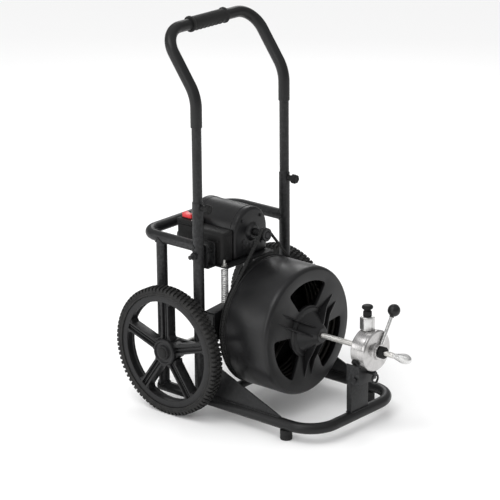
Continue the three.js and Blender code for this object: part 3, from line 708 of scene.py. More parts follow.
def hex_head(across, height, place, axis, way=1, turn=0.0):
    """A hexagon bolt head or nut with a crowned top, growing from place along axis (way is +1 or -1)."""
    head = plate(rounded(hexagon(across, turn), 0.6, 2), (), height, min(1.0, height / 4), "Z")
    dome = [(0, height + 0.6), (across * 0.36, height + 0.5), (across * 0.42, height - 0.4),
            (0, height - 0.5)]
    crown = turned(dome, axis="Z", sides=24)
    directions = {"X": Vector((way, 0, 0)), "Y": Vector((0, way, 0)), "Z": Vector((0, 0, way))}
    rotation = directions[axis].to_track_quat("Z", "Y").to_matrix().to_4x4()
    return moved(merged([head, crown]), Matrix.Translation(Vector(place)) @ rotation)


def washer(radius, bore, thickness, place, axis, sides=32):
    profile = rounded([(bore, 0), (radius, 0), (radius, thickness), (bore, thickness)], 0.25, 1)
    return turned(profile, place, axis, sides, closed=True)


# ------------------------------------------------------------------ frame

RAIL_ENDS = 125
RAIL_FRONT = -339
BASE_BEND = 68
CROSS_R = 9.5
CROSS_END = 180
LOOP_REAR = 171
LOOP_BEND = 45
POST_BORE_R = 11.7
WEB_TOP = 140
WEB_FRONT = -240
FOOT_X, FOOT_Y, FOOT_R = 149.5, -255, 14
BEAM_FRONT = -44
BEAM_LOW, BEAM_HIGH, BEAM_WAIST = 186, 248, 60
BEARING_R = 26.2
STAND_HALF = 31.5
STAND_FRONT, STAND_BACK, STAND_TOP = -346, -332, 118
CRADLE_FRONT = -368
AXLE_R, AXLE_END = 7.95, 224


def build_base():
    corners = [(-SIDE_X, RAIL_ENDS, RAIL_Z), (-SIDE_X, RAIL_FRONT, RAIL_Z),
               (SIDE_X, RAIL_FRONT, RAIL_Z), (SIDE_X, RAIL_ENDS, RAIL_Z)]
    plug = [(0, 123), (10.9, 123), (12.2, 124.2), (12.2, 125), (9, 126.4), (0, 127)]
    plugs = [turned(plug, (side * SIDE_X, 0, RAIL_Z), sides=32) for _, side in SIDES]
    rail = swept(tube_route(corners, (BASE_BEND, BASE_BEND)), TUBE_R, 36)
    piece("base_rail", [rail], frame_paint, "frame", ["base_loop"])
    piece("rail_end_plugs", plugs, black_plastic, "frame")
    parts = [swept([(-CROSS_END, CROSS_Y, RAIL_Z), (CROSS_END, CROSS_Y, RAIL_Z)], CROSS_R, 28, bore=7.5)]
    for _, side in SIDES:
        crossed = ((side * SIDE_X, 0, RAIL_Z), (0, 1, 0), TUBE_R)
        for way in (-1, 1):
            place = (side * (SIDE_X + way * 14), CROSS_Y, RAIL_Z)
            parts.append(seam(place, (-way * side, 0, 0), CROSS_R, crossed, 3 + side + way))
    piece("cross_tube", parts, frame_paint, "frame", ["rear_cross_tube"])


def build_side(label, side):
    x = side * SIDE_X
    rail = ((x, 0, RAIL_Z), (0, 1, 0), TUBE_R)
    loop = ((x, 0, LOOP_Z), (0, 1, 0), TUBE_R)
    post = swept([(x, 0, RAIL_Z), (x, 0, UPRIGHT_TOP)], TUBE_R, 36, bore=POST_BORE_R,
                 bore_depth=118, onto=(rail, None))
    leg = swept([(x, LEG_Y, RAIL_Z), (x, LEG_Y, LOOP_Z)], TUBE_R, 36, onto=(rail, loop))
    down, up = (0, 0, -1), (0, 0, 1)
    beads = [seam((x, 0, RAIL_Z), down, TUBE_R, rail, 11), seam((x, LEG_Y, RAIL_Z), down, TUBE_R, rail, 12),
             seam((x, LEG_Y, LOOP_Z), up, TUBE_R, loop, 13)]
    piece(f"{label}_post", [post, beads[0]], frame_paint, "frame", [f"{label}_upright"])
    piece(f"{label}_back_leg", [leg, *beads[1:]], frame_paint, "frame", [f"{label}_rear_leg"])
    near, low = -11.5, 47.5
    web = [(near, low), (near, WEB_TOP), (near - 3, WEB_TOP), (WEB_FRONT, low + 3.5), (WEB_FRONT, low)]
    seams = []
    for way in (-1, 1):
        beside = x + way * 3
        seams.append(weld_line((beside, -12.9, 54), (beside, -12.9, WEB_TOP - 3), 1.8, 20 + way))
    for way in (-1, 1):
        beside = x + way * 3.2
        seams.append(weld_line((beside, -18, 48.2), (beside, WEB_FRONT + 2, 48.2), 1.8, 30 + way))
    sheet = plate(web, (), 4, 0.7, "X", x - 2)
    piece(f"{label}_side_web", [sheet, *seams], frame_paint, "frame", [f"{label}_gusset"])
    bar = moved(block(-5, 5, 10, LEG_Y - 10, -12.5, 12.5, 0.9, 0.9), Matrix.Translation((x, 0, AXLE.z)))
    seams = [weld_line((x + way * 5.6, y, AXLE.z - 11), (x + way * 5.6, y, AXLE.z + 11), 2.0, 40 + way)
             for way in (-1, 1) for y in (13.2, LEG_Y - 13.2)]
    piece(f"{label}_axle_carrier", [bar, *seams], frame_paint, "frame", [f"{label}_axle_bar"])
    top = RAIL_Z - TUBE_R + 0.6
    profile = [(0, 0), (12, 0), (13.4, 0.8), (FOOT_R, 2.4), (FOOT_R, 9), (13.4, 9.6), (13.4, 11),
               (FOOT_R, 11.6), (FOOT_R, top - 1.2), (12.8, top), (0, top)]
    pad = turned(profile, (side * FOOT_X, FOOT_Y, 0), "Z", 36)
    piece(f"{label}_foot_pad", [pad], grip_rubber, "frame", [f"{label}_foot"])


def build_top_loop():
    corners = [(-SIDE_X, 0, LOOP_Z), (-SIDE_X, LOOP_REAR, LOOP_Z),
               (SIDE_X, LOOP_REAR, LOOP_Z), (SIDE_X, 0, LOOP_Z)]
    posts = [((side * SIDE_X, 0, 0), (0, 0, 1), TUBE_R) for _, side in SIDES]
    parts = [swept(tube_route(corners, (LOOP_BEND, LOOP_BEND)), TUBE_R, 36, onto=tuple(posts))]
    for (_, side), post in zip(SIDES, posts):
        parts.append(seam((side * SIDE_X, 0, LOOP_Z), (0, -1, 0), TUBE_R, post, 50 + side, 1.2))
    piece("upper_loop", parts, frame_paint, "frame", ["top_loop"])


def build_beam():
    end = SIDE_X - 2.5
    lower = [(-end, BEAM_LOW), (-BEAM_WAIST, 160), (BEAM_WAIST, 160), (end, BEAM_LOW)]
    upper = [(end, BEAM_HIGH), (BEAM_WAIST, 256), (-BEAM_WAIST, 256), (-end, BEAM_HIGH)]
    web = rounded(lower + upper, 8, 3)
    flange = [(x, z - 3) for x, z in reversed(upper)] + upper
    bearing_hole = disc_outline(BEARING_R + 0.4, 64, (0, DRUM_Z))
    parts = [plate(web, [bearing_hole], 5, 0.8, "Y", BEAM_FRONT), plate(flange, (), 30, 0.7, "Y", BEAM_FRONT)]
    for _, side in SIDES:
        inner, outer = sorted((side * (end - 4), side * end))
        parts.append(block(inner, outer, BEAM_FRONT, -11.6, BEAM_LOW, BEAM_HIGH, 0.7, 1))
        x = side * (SIDE_X - 5.5)
        parts.append(weld_line((x, -13.4, BEAM_LOW + 4), (x, -13.4, BEAM_HIGH - 3), 2, 59))
    piece("drum_carrier", parts, frame_paint, "frame", ["bearing_beam"])
    bolts = []
    for k in range(4):
        turn = (2 * k + 1) * pi / 4
        bolts.append(hex_head(10, 5, (40 * sin(turn), -38.6, DRUM_Z + 40 * cos(turn)), "Y", 1, turn))
    housing = rounded([(13, -52), (34, -52), (34, -44.2), (46, -44.2), (46, -44.1), (BEARING_R, -44.1),
                       (BEARING_R, -32), (13, -32)], 0.8, 2)
    race = rounded([(13, -33), (17.5, -33), (17.5, -31.4), (22, -31.4), (22, -33), (25, -33), (25, -40),
                    (13, -40)], 0.3, 1)
    rings = [turned(profile, DRUM_AT, sides=64, closed=True) for profile in (housing, race)]
    piece("bearing_block", rings, zinc_steel, "frame", ["drum_bearing"])
    piece("bearing_bolts", bolts, zinc_steel, "frame")


def build_feed_stand():
    parts = [block(-STAND_HALF, STAND_HALF, STAND_FRONT, STAND_BACK, 38, STAND_TOP, 1.2, 2.5)]
    for way in (-1, 1):
        y = RAIL_FRONT + way * 7.6
        parts.append(weld_line((-30, y, 47.5), (30, y, 47.5), 2.0, 70 + way))
    piece("feed_post", parts, frame_paint, "frame", ["feed_tower"])
    reach, radius, foot = STAND_HALF, 46.6, STAND_TOP + 0.4
    edge = atan2(reach, sqrt(radius ** 2 - reach ** 2))
    turns = [edge - 2 * edge * k / 20 for k in range(21)]
    arc = [(radius * sin(turn), DRUM_Z - radius * cos(turn)) for turn in turns]
    cradle = plate([(-reach, foot), (reach, foot), *arc], (), 36, 0.9, "Y", CRADLE_FRONT)
    edges = (STAND_FRONT - 0.4, STAND_BACK + 0.2)
    seams = [weld_line((-29, y, 118.2), (29, y, 118.2), 1.7, 80) for y in edges]
    piece("feed_cradle", [cradle, *seams], frame_paint, "frame", ["feed_saddle"])
    bolts = [hex_head(10, 5, (side * STAND_HALF, -357, 132), "X", side, 0.4 * side) for _, side in SIDES]
    piece("cradle_bolts", bolts, dark_steel, "frame")


def build_axle():
    profile = rounded([(0, -AXLE_END), (AXLE_R, -AXLE_END), (AXLE_R, AXLE_END), (0, AXLE_END)], 1.6, 3,
                      closed=False)
    parts = [turned(profile, (0, AXLE.y, AXLE.z), "X", 32)]
    piece("axle_rod", parts, zinc_steel, "frame", ["wheel_axle"])


build_base()
build_top_loop()
build_beam()
build_feed_stand()
build_axle()
for label, side in SIDES:
    build_side(label, side)

# ------------------------------------------------------------------ handle

SLEEVE_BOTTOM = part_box("upper_handle")[0].z * METRE
LEAN_CORNER_Z = 748
LEAN_BEND, GRIP_BEND = 85, 55
SLEEVE_R, SLEEVE_BORE_R, INNER_R = 13.2, 11.4, 11.1
FLANGE_R, HELD_R = 18.5, 15.9


def build_handle():
    corners = [(-SIDE_X, 0, SLEEVE_BOTTOM), (-SIDE_X, 0, LEAN_CORNER_Z), (-SIDE_X, GRIP.y, GRIP.z),
               (SIDE_X, GRIP.y, GRIP.z), (SIDE_X, 0, LEAN_CORNER_Z), (SIDE_X, 0, SLEEVE_BOTTOM)]
    route = tube_route(corners, (LEAN_BEND, GRIP_BEND, GRIP_BEND, LEAN_BEND), 14)
    bar = swept(route, SLEEVE_R, 36, bore=SLEEVE_BORE_R, bore_depth=6)
    piece("handle_bow", [bar], frame_paint, "handle", ["upper_handle"])
    half = (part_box("handle_grip")[1].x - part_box("handle_grip")[0].x) / 2 * METRE

    def ridged(r, along, angle):
        """Finger ridges on the underside, fading out before the ends."""
        ridges, height = 9, 2.1
        under = max(0.0, cos(angle - radians(-70)))
        wave = 0.5 - 0.5 * cos((along + half) / (2 * half) * 2 * ridges * pi)
        inside = min(1.0, max(0.0, (half - 10 - abs(along)) / 4))
        return r + height * under ** 0.6 * wave * inside

    collar = [(SLEEVE_R + 0.05, -half), (17.6, -half), (FLANGE_R, -half + 0.9), (FLANGE_R, -half + 3.2),
              (17.8, -half + 4.2), (16.4, -half + 6.5)]
    steps = 96
    held = [(HELD_R, -half + 8 + (2 * half - 16) * k / steps) for k in range(steps + 1)]
    profile = collar + held + [(r, -along) for r, along in reversed(collar)]
    grip = turned(profile, GRIP, "X", 48, closed=True, shape=ridged)
    piece("hand_grip", [grip], grip_rubber, "handle", ["handle_grip"])
    for label, side in SIDES:
        x = side * SIDE_X
        low, high = (v.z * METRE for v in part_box(f"{label}_handle_tube"))
        tube = swept([(x, 0, low), (x, 0, high)], INNER_R, 32)
        piece(f"{label}_inner_tube", [tube], frame_paint, "handle", [f"{label}_handle_tube"])
        build_clamp(label, x)


def build_clamp(label, x):
    place = (x, 0, centre_mm(f"{label}_clamp_knob").z)

    def lobed(r, along, angle):
        """Seven shallow lobes round the wide part of the knob."""
        if r < 8.5:
            return r
        return r * (0.955 + 0.045 * cos(7 * angle))

    head = [(0, -21.5), (6.4, -21.5), (7, -22.2), (7.4, -23.4), (10.6, -24.8), (11, -26), (11, -34.4),
            (10.2, -36.6), (8.6, -37.9), (6, -38.2), (5.2, -37.4), (0, -37.4)]
    neck = [(0, -13.2), (7.2, -13.2), (7.2, -14), (6.6, -14.4), (6.6, -21), (7, -21.6), (0, -21.6)]
    stem = [(0, -11.7), (3.9, -11.7), (3.9, -14), (0, -14)]
    piece(f"{label}_clamp_head", [turned(head, place, sides=84, shape=lobed), turned(neck, place, sides=32)],
          black_plastic, f"{label}_clamp", [f"{label}_clamp_knob"])
    piece(f"{label}_clamp_stem", [turned(stem, place, sides=20)], zinc_steel, f"{label}_clamp")


build_handle()

# ------------------------------------------------------------------ wheels

SPOKES = 5
LUGS = 84
TYRE_X = 199.5
SPOKE_HALF = 9


def turned_by(angle, points):
    """Points given as (distance along a radius, distance to its side), in (across, up) coordinates."""
    return [(r * cos(angle) - t * sin(angle), r * sin(angle) + t * cos(angle)) for r, t in points]


def radial_bar(angle, r0, r1, half0, half1, shift=0.0):
    """A bar along a radius, tapering from half0 to half1 and moved sideways by shift."""
    corners = ((r0, shift - half0), (r1, shift - half1), (r1, shift + half1), (r0, shift + half0))
    return turned_by(angle, corners)


def mirrored(profile, side):
    return [(r, side * along) for r, along in profile]


def build_wheel(label, side):
    centre = (0, AXLE.y, AXLE.z)
    shift = Matrix.Translation(centre)
    band = rounded([(118.4, 187.5), (132.6, 187), (132.6, 213), (118.4, 212.5), (118.4, 208), (121.4, 206),
                    (121.4, 194), (118.4, 192)], 1.2, 2)
    hub = rounded([(8.45, 168), (23, 168), (25, 170), (25, 186), (31, 190), (31, 216.5), (28.5, 219.4),
                   (25.5, 219.4), (24, 216.4), (17.4, 216.4), (16.2, 221.6), (14.8, 222.8),
                   (8.45, 222.8)], 1.0, 2)
    parts = [turned(mirrored(profile, side), centre, "X", 120, closed=True) for profile in (band, hub)]
    low, high = sorted((side * 187.6, side * 212.4))
    floor_low, floor_high = sorted((side * 191, side * 205.5))
    depth = floor_high - floor_low
    for k in range(SPOKES):
        angle = pi / 2 + TAU * k / SPOKES
        web = plate(radial_bar(angle, 28, 120.5, 9.5, 9.5), (), depth, 0.5, "X", floor_low)
        edges = [plate(radial_bar(angle, 27.5, 121, 2.6, 2.2, way * 8.8), (), high - low, 0.7, "X", low)
                 for way in (-1, 1)]
        rib_base = floor_low if side > 0 else floor_low - 4
        rib = plate(radial_bar(angle, 28, 119.5, 1.5, 1.3), (), depth + 4, 0.6, "X", rib_base)
        parts += [moved(part, shift) for part in (web, *edges, rib)]
        for way in (-1, 1):
            near = way * SPOKE_HALF
            at_hub = ((29, near), (29, way * 17), (44, near))
            at_rim = ((119.6, near), (108, near), (118.2, way * 19))
            for corner in (at_hub, at_rim):
                fillet = plate(turned_by(angle, corner), (), high - low - 2, 0.6, "X", low + 1)
                parts.append(moved(fillet, shift))
    body = f"{label}_wheel_set"
    piece(f"{label}_wheel_rim", parts, wheel_plastic, body, [f"{label}_wheel"])
    build_tyre(label, side, centre)
    cap = rounded([(0, 226), (8, 226), (11.6, 225.2), (13.4, 223.8), (13.4, 222.4), (0, 222.4)], 0.6, 2,
                  closed=False)
    piece(f"{label}_push_nut", [turned(mirrored(cap, side), centre, "X", 40)], black_plastic, body)


def build_tyre(label, side, centre):
    middle_x = side * TYRE_X
    wall = [(133, -14.5), (134, -16), (137, -16.2), (138, -15.4), (139.2, -15.4), (140.2, -16.2),
            (143.5, -15.8), (147, -12.6), (148.4, -8)]
    carcass = wall + [(148.8, 0)] + [(r, -x) for r, x in reversed(wall)]
    parts = [turned(carcass, (middle_x, centre[1], centre[2]), "X", 168, closed=True)]
    shoulder = [(146, 5.2), (151.9, 6), (151.9, 11.6), (149.6, 15.2), (142.6, 16.45), (141.6, 14)]
    middle_lug = [(147.6, -4.6), (151.95, -3.9), (151.95, 3.9), (147.6, 4.6)]
    pitch = TAU / LUGS

    def lug(section, angle, wide):
        """A tread block of this section across the tyre, narrower at its top."""
        rings = []
        for way in (-1, 1):
            ring = []
            for r, x in section:
                turn = angle + way * wide * (0.86 if r > 149 else 1.0) * pitch
                ring.append(Vector((middle_x + x, centre[1] + r * cos(turn), centre[2] + r * sin(turn))))
            rings.append(ring)
        return loft(rings)

    for k in range(LUGS):
        angle = pitch * k
        parts.append(lug(shoulder, angle, 0.31))
        parts.append(lug([(r, -x) for r, x in shoulder], angle + pitch / 2, 0.31))
        parts.append(lug(middle_lug, angle + pitch / 4, 0.3))
    piece(f"{label}_tyre_tread", parts, tyre_rubber, f"{label}_wheel_set", [f"{label}_tyre"])


for label, side in SIDES:
    build_wheel(label, side)

# ------------------------------------------------------------------ drum

WINDOWS = 3
WINDOW_OUTER_R, WINDOW_INNER_R, WINDOW_HALF = 118, 60, radians(33)
DRUM_R = 150.5
DRUM_FACE_Y = -195
GUSSET_X = 12
# One gusset's outline, as (distance from the drum axis, y).
GUSSET = rounded([(112, -193), (108, -196), (70, -206), (24, -230), (18, -230), (18, -193)],
                 [0, 6, 30, 3, 0, 0], 4)


def window_outline(index, steps=18):
    """A drum window in (x, z), between two arcs, with rounded corners."""
    centre_angle, half = pi / 2 + TAU * index / WINDOWS, WINDOW_HALF
    outer = [centre_angle - half + 2 * half * k / steps for k in range(steps + 1)]
    inner = [centre_angle + 0.9 * half - 1.8 * half * k / steps for k in range(steps + 1)]
    points = []
    for radius, angles in ((WINDOW_OUTER_R, outer), (WINDOW_INNER_R, inner)):
        points += [(radius * cos(a), radius * sin(a)) for a in angles]
    corners = {0, steps, steps + 1, 2 * steps + 1}
    trimmed = []
    for i, point in enumerate(points):
        if i in corners:
            here, before, after = Vector(point), Vector(points[i - 1]), Vector(points[(i + 1) % len(points)])
            reach = 9 if i in (0, steps) else 7
            start = here + (before - here).normalized() * min(reach, (before - here).length * 0.95)
            end = here + (after - here).normalized() * min(reach, (after - here).length * 0.95)
            trimmed += bent(start, here, end, 4)
        else:
            trimmed.append(point)
    return [(x, z + DRUM_Z) for x, z in trimmed]


def build_drum():
    windows = [window_outline(k) for k in range(WINDOWS)]
    shaft_hole = disc_outline(20, 48, (0, DRUM_Z))
    rim = disc_outline(143.4, 180, (0, DRUM_Z))
    face = plate(rim, [*windows, shaft_hole], 8.4, 0.9, "Y", DRUM_FACE_Y, 3)
    barrel = [(146.4, -78), (147, -77.8), (150.2, -77.8), (DRUM_R, -78.4), (DRUM_R, -181), (150.35, -183.6),
              (149.9, -186.6), (149.1, -189.4), (147.7, -191.9), (145.6, -194), (143.2, DRUM_FACE_Y),
              (142.6, -193), (142.6, -188), (144.4, -187), (145.9, -184), (146.4, -180)]
    cone = rounded([(60, -193), (57, -196.2), (55.6, -198.9), (48.2, -199.4), (45.2, -199.4), (18.4, -237),
                    (16.6, -238), (7.4, -238), (6.9, -236.6), (6.9, -189), (60, -189)], 1.0, 2)
    parts = [face, turned(barrel, DRUM_AT, sides=180, closed=True),
             turned(cone, DRUM_AT, sides=120, closed=True)]
    up = Matrix.Translation(DRUM_AT)
    for k in range(WINDOWS):
        angle = pi / 6 + TAU * k / WINDOWS
        across, along = Vector((-sin(angle), 0, cos(angle))), Vector((cos(angle), 0, sin(angle)))
        spread = Matrix((across, along, Vector((0, 1, 0)))).transposed().to_4x4()
        for way in (-1, 1):
            parts.append(moved(plate(GUSSET, (), 3.4, 0.9, "X", way * GUSSET_X - 1.7), up @ spread))
        for way in (-1, 1):
            rib = radial_bar(angle, 56, 130, 1.5, 1.5, way * 16)
            parts.append(moved(plate(rib, (), 26, 0.6, "Y", -188), up))
    piece("drum_front", parts, drum_plastic, "drum", ["drum_shell"])
    back = [(13, -56), (29, -56), (30.5, -56.8), (34, -61.4), (36, -62), (140, -62), (142, -61.6),
            (150.9, -60), (151.5, -60.6), (151.5, -62.2), (146.5, -64.2), (146.5, -72.3), (151.5, -74.2),
            (151.5, -77), (150.9, -77.7), (142.6, -77.7), (142, -77), (142, -67.6), (141.4, -67), (34, -67),
            (30, -73.4), (29.2, -74), (13, -74)]
    parts = [turned(back, DRUM_AT, sides=180, closed=True)]
    for k in range(12):
        angle = TAU * k / 12
        parts.append(moved(plate(radial_bar(angle, 31, 143, 1.6, 1.6), (), 6.0, 0.8, "Y", -64.2), up))
    piece("drum_rear", parts, black_plastic, "drum", ["drum_back"])
    shaft = [(0, -24), (11.5, -24), (12.5, -25), (12.5, -52.3), (18, -52.3), (18, -55.7), (12.5, -55.7),
             (12.5, -83), (11.6, -84), (0, -84)]
    piece("drum_spindle", [turned(shaft, DRUM_AT, sides=48)], zinc_steel, "drum", ["drum_shaft"])


def bezier(a, b, c, d, steps):
    """Points on a cubic curve from a to d."""
    a, b, c, d = (Vector(p) for p in (a, b, c, d))
    points = []
    for k in range(steps + 1):
        t = k / steps
        points.append(a * (1 - t) ** 3 + b * 3 * t * (1 - t) ** 2 + c * 3 * t * t * (1 - t) + d * t ** 3)
    return points


def build_coil():
    """Two layers of turns against the drum wall. The inner layer's end swings to the axis, behind the
    lower right window."""
    outer, inner = 139.2, 126.6
    front, back, per_turn = -178.6, -86.6, 48
    turns = 7
    points = []
    for layer, radius in ((0, outer), (1, inner)):
        for k in range(turns * per_turn):
            share = k / (turns * per_turn)
            along = front + (back - front) * share if layer == 0 else back + (front - back) * share
            angle = TAU * k / per_turn + radians(200)
            points.append(Vector((radius * cos(angle), along, radius * sin(angle) + DRUM_Z)))
    end = points[-1]
    heading = (points[-1] - points[-2]).normalized()
    points += bezier(end, end + heading * 62, (0, -112, DRUM_Z), (0, -184, DRUM_Z), 30)[1:]
    # The coil's finish is painted shade: its steel is darkened for the shade inside the drum.
    piece("wound_cable", [swept(points, 6.2, 14)], shaded_coil_steel, "drum", ["cable_coil"])


def wire_wound(profile, centre, pitch, depth, step, sides=28):
    """A closely wound round wire along Y. profile is [radius, along]; the wire runs round it as a screw."""
    fine = []
    for (r0, a0), (r1, a1) in zip(profile, profile[1:]):
        count = max(1, int(abs(a1 - a0) / step))
        fine += [(r0 + (r1 - r0) * k / count, a0 + (a1 - a0) * k / count) for k in range(count)]
    fine.append(profile[-1])

    def ridged(r, along, angle):
        share = abs(sin(pi * (along / pitch + angle / TAU)))
        return r - depth * (1 - sqrt(share))

    return turned(fine, centre, sides=sides, shape=ridged)


def build_cable():
    cable = wire_wound([(6.3, -184), (6.3, -441)], DRUM_AT, 2.7, 0.55, 0.45)
    piece("feed_cable", [cable], cable_steel, "drum", ["guide_cable"])
    tip = [(5.6, -440.4), (5.9, -444), (7.1, -449), (9.0, -455), (10.5, -461), (11.4, -466), (11.6, -470),
           (11.2, -475), (9.8, -480), (7.4, -484.4), (4.8, -486.8), (2.0, -487.8)]
    piece("bulb_head", [wire_wound(tip, DRUM_AT, 2.5, 0.6, 0.4)], bright_steel, "drum", ["bulb_tip"])


build_drum()
build_coil()
build_cable()

# ------------------------------------------------------------------ belt drive

MOTOR_AT = (0, 0, MOTOR_Z)
BELT_Y = -68.25
GROOVE_R, PULLEY_R = 146.6, 12.1
TOOTH = 0.9


def belt_route(offset, step=1.7):
    """The belt's middle line round the drum groove and the pulley, in (x, z), with its outward directions."""
    big, small = GROOVE_R + offset, PULLEY_R + offset
    distance = MOTOR_Z - DRUM_Z
    contact = acos((big - small) / distance)
    arcs = ((MOTOR_Z, small, pi / 2 - contact, pi / 2 + contact),
            (DRUM_Z, big, pi / 2 + contact, pi / 2 - contact + TAU))
    points = []
    for z, r, start, end in arcs:
        count = int(r * (end - start) / step)
        for k in range(count + 1):
            angle = start + (end - start) * k / count
            points.append((Vector((r * cos(angle), z + r * sin(angle))), Vector((cos(angle), sin(angle)))))
    result = []
    for (a, na), (b, nb) in zip(points, points[1:] + points[:1]):
        count = max(1, round((b - a).length / step))
        result += [(a.lerp(b, k / count), na.lerp(nb, k / count).normalized()) for k in range(count)]
    return result


def build_belt():
    rings = []
    for i, (point, outward) in enumerate(belt_route(2)):
        tooth = 0.0 if i % 4 < 2 else TOOTH
        section = ((-3.3, -2), (-4, 1.1), (-3.7, 2 - tooth), (3.7, 2 - tooth), (4, 1.1), (3.3, -2))
        ring = []
        for across, up in section:
            ring.append(Vector((point.x + outward.x * up, BELT_Y + across, point.y + outward.y * up)))
        rings.append(ring)
    slack = ("frame", "motor_mount", (0, -68, DRUM_Z + 90), (0, -68, MOTOR_Z - 14))
    piece("cogged_belt", [loft(rings, closed=True)], belt_rubber, slack, ["drive_belt"], sharp=24)
    profile = rounded([(8.4, -60), (14.5, -60), (15.5, -61), (15.5, -62.5), (12, -64.2), (12, -72.3),
                       (15.5, -74), (15.5, -75.5), (14.5, -76.5), (9.5, -76.5), (8.4, -75.6)], 0.5, 2)
    pulley = turned(profile, MOTOR_AT, sides=64, closed=True)
    piece("belt_pulley", [pulley], motor_paint, "rotor", ["motor_pulley"])
    shaft = [(0, -77), (7, -77), (8, -76), (8, 5), (31, 5), (31, 80), (8, 80), (8, 107), (0, 108)]
    piece("motor_shaft", [turned(shaft, MOTOR_AT, sides=40)], dark_steel, "rotor", ["motor_rotor"])


build_belt()

# ------------------------------------------------------------------ motor

CAN_R = 58
CAN_FRONT = -12
CAN_FLAT_Z = 346.8
PLATE_LOW = 342.5
EAR_FRONT, EAR_REAR, EAR_TOP = -10, 26, 400


def arch(radius, z0, corner=4.0, steps=28):
    """An outline in (x, z): half round above the motor axis, with straight sides down to z0."""
    curve = [(radius * cos(pi * k / steps), MOTOR_Z + radius * sin(pi * k / steps)) for k in range(steps + 1)]
    foot = rounded([(-radius, MOTOR_Z), (-radius, z0), (radius, z0), (radius, MOTOR_Z)],
                   [0, corner, corner, 0], 3)
    return curve[:-1] + foot[:-1]


def domed(outline, start, way, layers):
    """Layers of an outline drawn in about the motor axis. layers are (scale, distance from start)."""
    rings = []
    for scale, distance in layers:
        y = start + way * distance
        rings.append([Vector((x * scale, y, MOTOR_Z + (z - MOTOR_Z) * scale)) for x, z in outline])
    return loft(rings)


def end_cover(start, way, radius, z0, depth):
    """A cast end cover with a rounded shoulder and a shallow domed face."""
    layers = [(0.97, -1.5), (1, 0), (1, depth * 0.5)]
    for k in range(1, 9):
        turn = pi / 2 * k / 8
        layers.append((1 - 0.16 * (1 - cos(turn)), depth * (0.5 + 0.5 * sin(turn))))
    layers += [(0.7, depth + 1.2), (0.45, depth + 2.2), (0.2, depth + 2.6)]
    return domed(arch(radius, z0), start, way, layers)


def build_motor():
    can = [(0.985, 0), (1, 0.9), (1, 3), (0.988, 3.6), (0.988, 103.4), (1, 104), (1, 106.2), (0.985, 107)]
    body = domed(arch(CAN_R, CAN_FLAT_Z, 3), CAN_FRONT, 1, can)
    feet = [block(x, x + 12, y, y + 16, 346.6, 351, 0.8, 3) for x, y in ((57, -6), (57, 26))]
    piece("motor_can", [body, *feet], motor_paint, "motor_mount", ["motor_body"])
    nose = rounded([(8.6, -38), (15, -38), (16.5, -36.5), (19, -31.5), (24, -29), (24, -26), (8.6, -26)],
                   0.8, 2)
    front = [end_cover(CAN_FRONT, -1, CAN_R - 1, CAN_FLAT_Z + 0.2, 15.5),
             turned(nose, MOTOR_AT, sides=64, closed=True)]
    piece("motor_front_cover", front, motor_paint, "motor_mount", ["motor_front_bell"])
    vents = []
    for k in range(6):
        slot = turned_by(radians(-150 + 24 * k), ((27, -2.6), (39, -3.4), (39, 3.4), (27, 2.6)))
        vents.append(rounded([(x, MOTOR_Z + z) for x, z in slot], 2, 2))
    covers = [plate(vent, (), 4, 0.3, "Y", -30.4) for vent in vents]
    piece("motor_front_vents", covers, dark_steel, "motor_mount")
    shell = rounded([(0, 122.4), (34, 122.4), (50, 119.5), (CAN_R, 108), (CAN_R, 95), (0, 95)],
                    [0, 8, 12, 10, 0.8, 0], 5, closed=False)
    hub = [(0, 124.6), (14, 124.6), (16, 123.6), (17, 121), (0, 121)]
    rear = [turned(shell, MOTOR_AT, sides=96), turned(hub, MOTOR_AT, sides=48)]
    fins = [plate(radial_bar(TAU * k / 12, 20, 38, 1.4, 1.4), (), 3, 0.7, "Y", 121.2) for k in range(12)]
    rear += [moved(fin, Matrix.Translation(MOTOR_AT)) for fin in fins]
    piece("motor_rear_housing", rear, motor_paint, "motor_mount", ["motor_rear_cover"])
    bolts = []
    for k in range(4):
        angle = pi / 4 + k * pi / 2
        bolts.append(hex_head(7, 3.5, (44 * cos(angle), -28, MOTOR_Z + 44 * sin(angle)), "Y", -1, angle))
        bolts.append(hex_head(7, 2.4, (42 * cos(angle), 120.6, MOTOR_Z + 42 * sin(angle)), "Y", 1, angle))
    bolts += [hex_head(7, 4, (64.5, y, 350.8), "Z", 1, 0.3) for y in (2, 34)]
    piece("motor_tie_bolts", bolts, dark_steel, "motor_mount")


def build_capacitor_box():
    low, high = (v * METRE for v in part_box("capacitor_box"))
    y0, y1 = low.y - UPRIGHT_Y * METRE, high.y - UPRIGHT_Y * METRE
    section = rounded([(low.x, low.z), (high.x, low.z), (high.x, high.z), (low.x, high.z)], [2, 2, 2, 13], 6)
    edge, steps = 9, 6
    layers = []
    for k in range(steps + 1):
        turn = pi / 2 * k / steps
        layers.append((edge * (1 - sin(turn)), edge * (1 - cos(turn))))
    layers += [(0, y1 - y0 - 1), (1, y1 - y0)]
    middle_x, middle_z = (low.x + high.x) / 2, (low.z + high.z) / 2
    half_x, half_z = (high.x - low.x) / 2, (high.z - low.z) / 2
    rings = []
    for drawn, deep in layers:
        ring = []
        for x, z in section:
            ring.append(Vector((middle_x + (x - middle_x) * (1 - drawn / half_x), y0 + deep,
                                middle_z + (z - middle_z) * (1 - drawn / half_z))))
        rings.append(ring)
    screws = [hex_head(5, 1.6, (low.x, y, z), "X", -1, 0.2)
              for y in (y0 + 14, y1 - 8) for z in (low.z + 9, high.z - 20)]
    piece("capacitor_case", [loft(rings), *screws], black_plastic, "motor_mount", ["capacitor_box"])


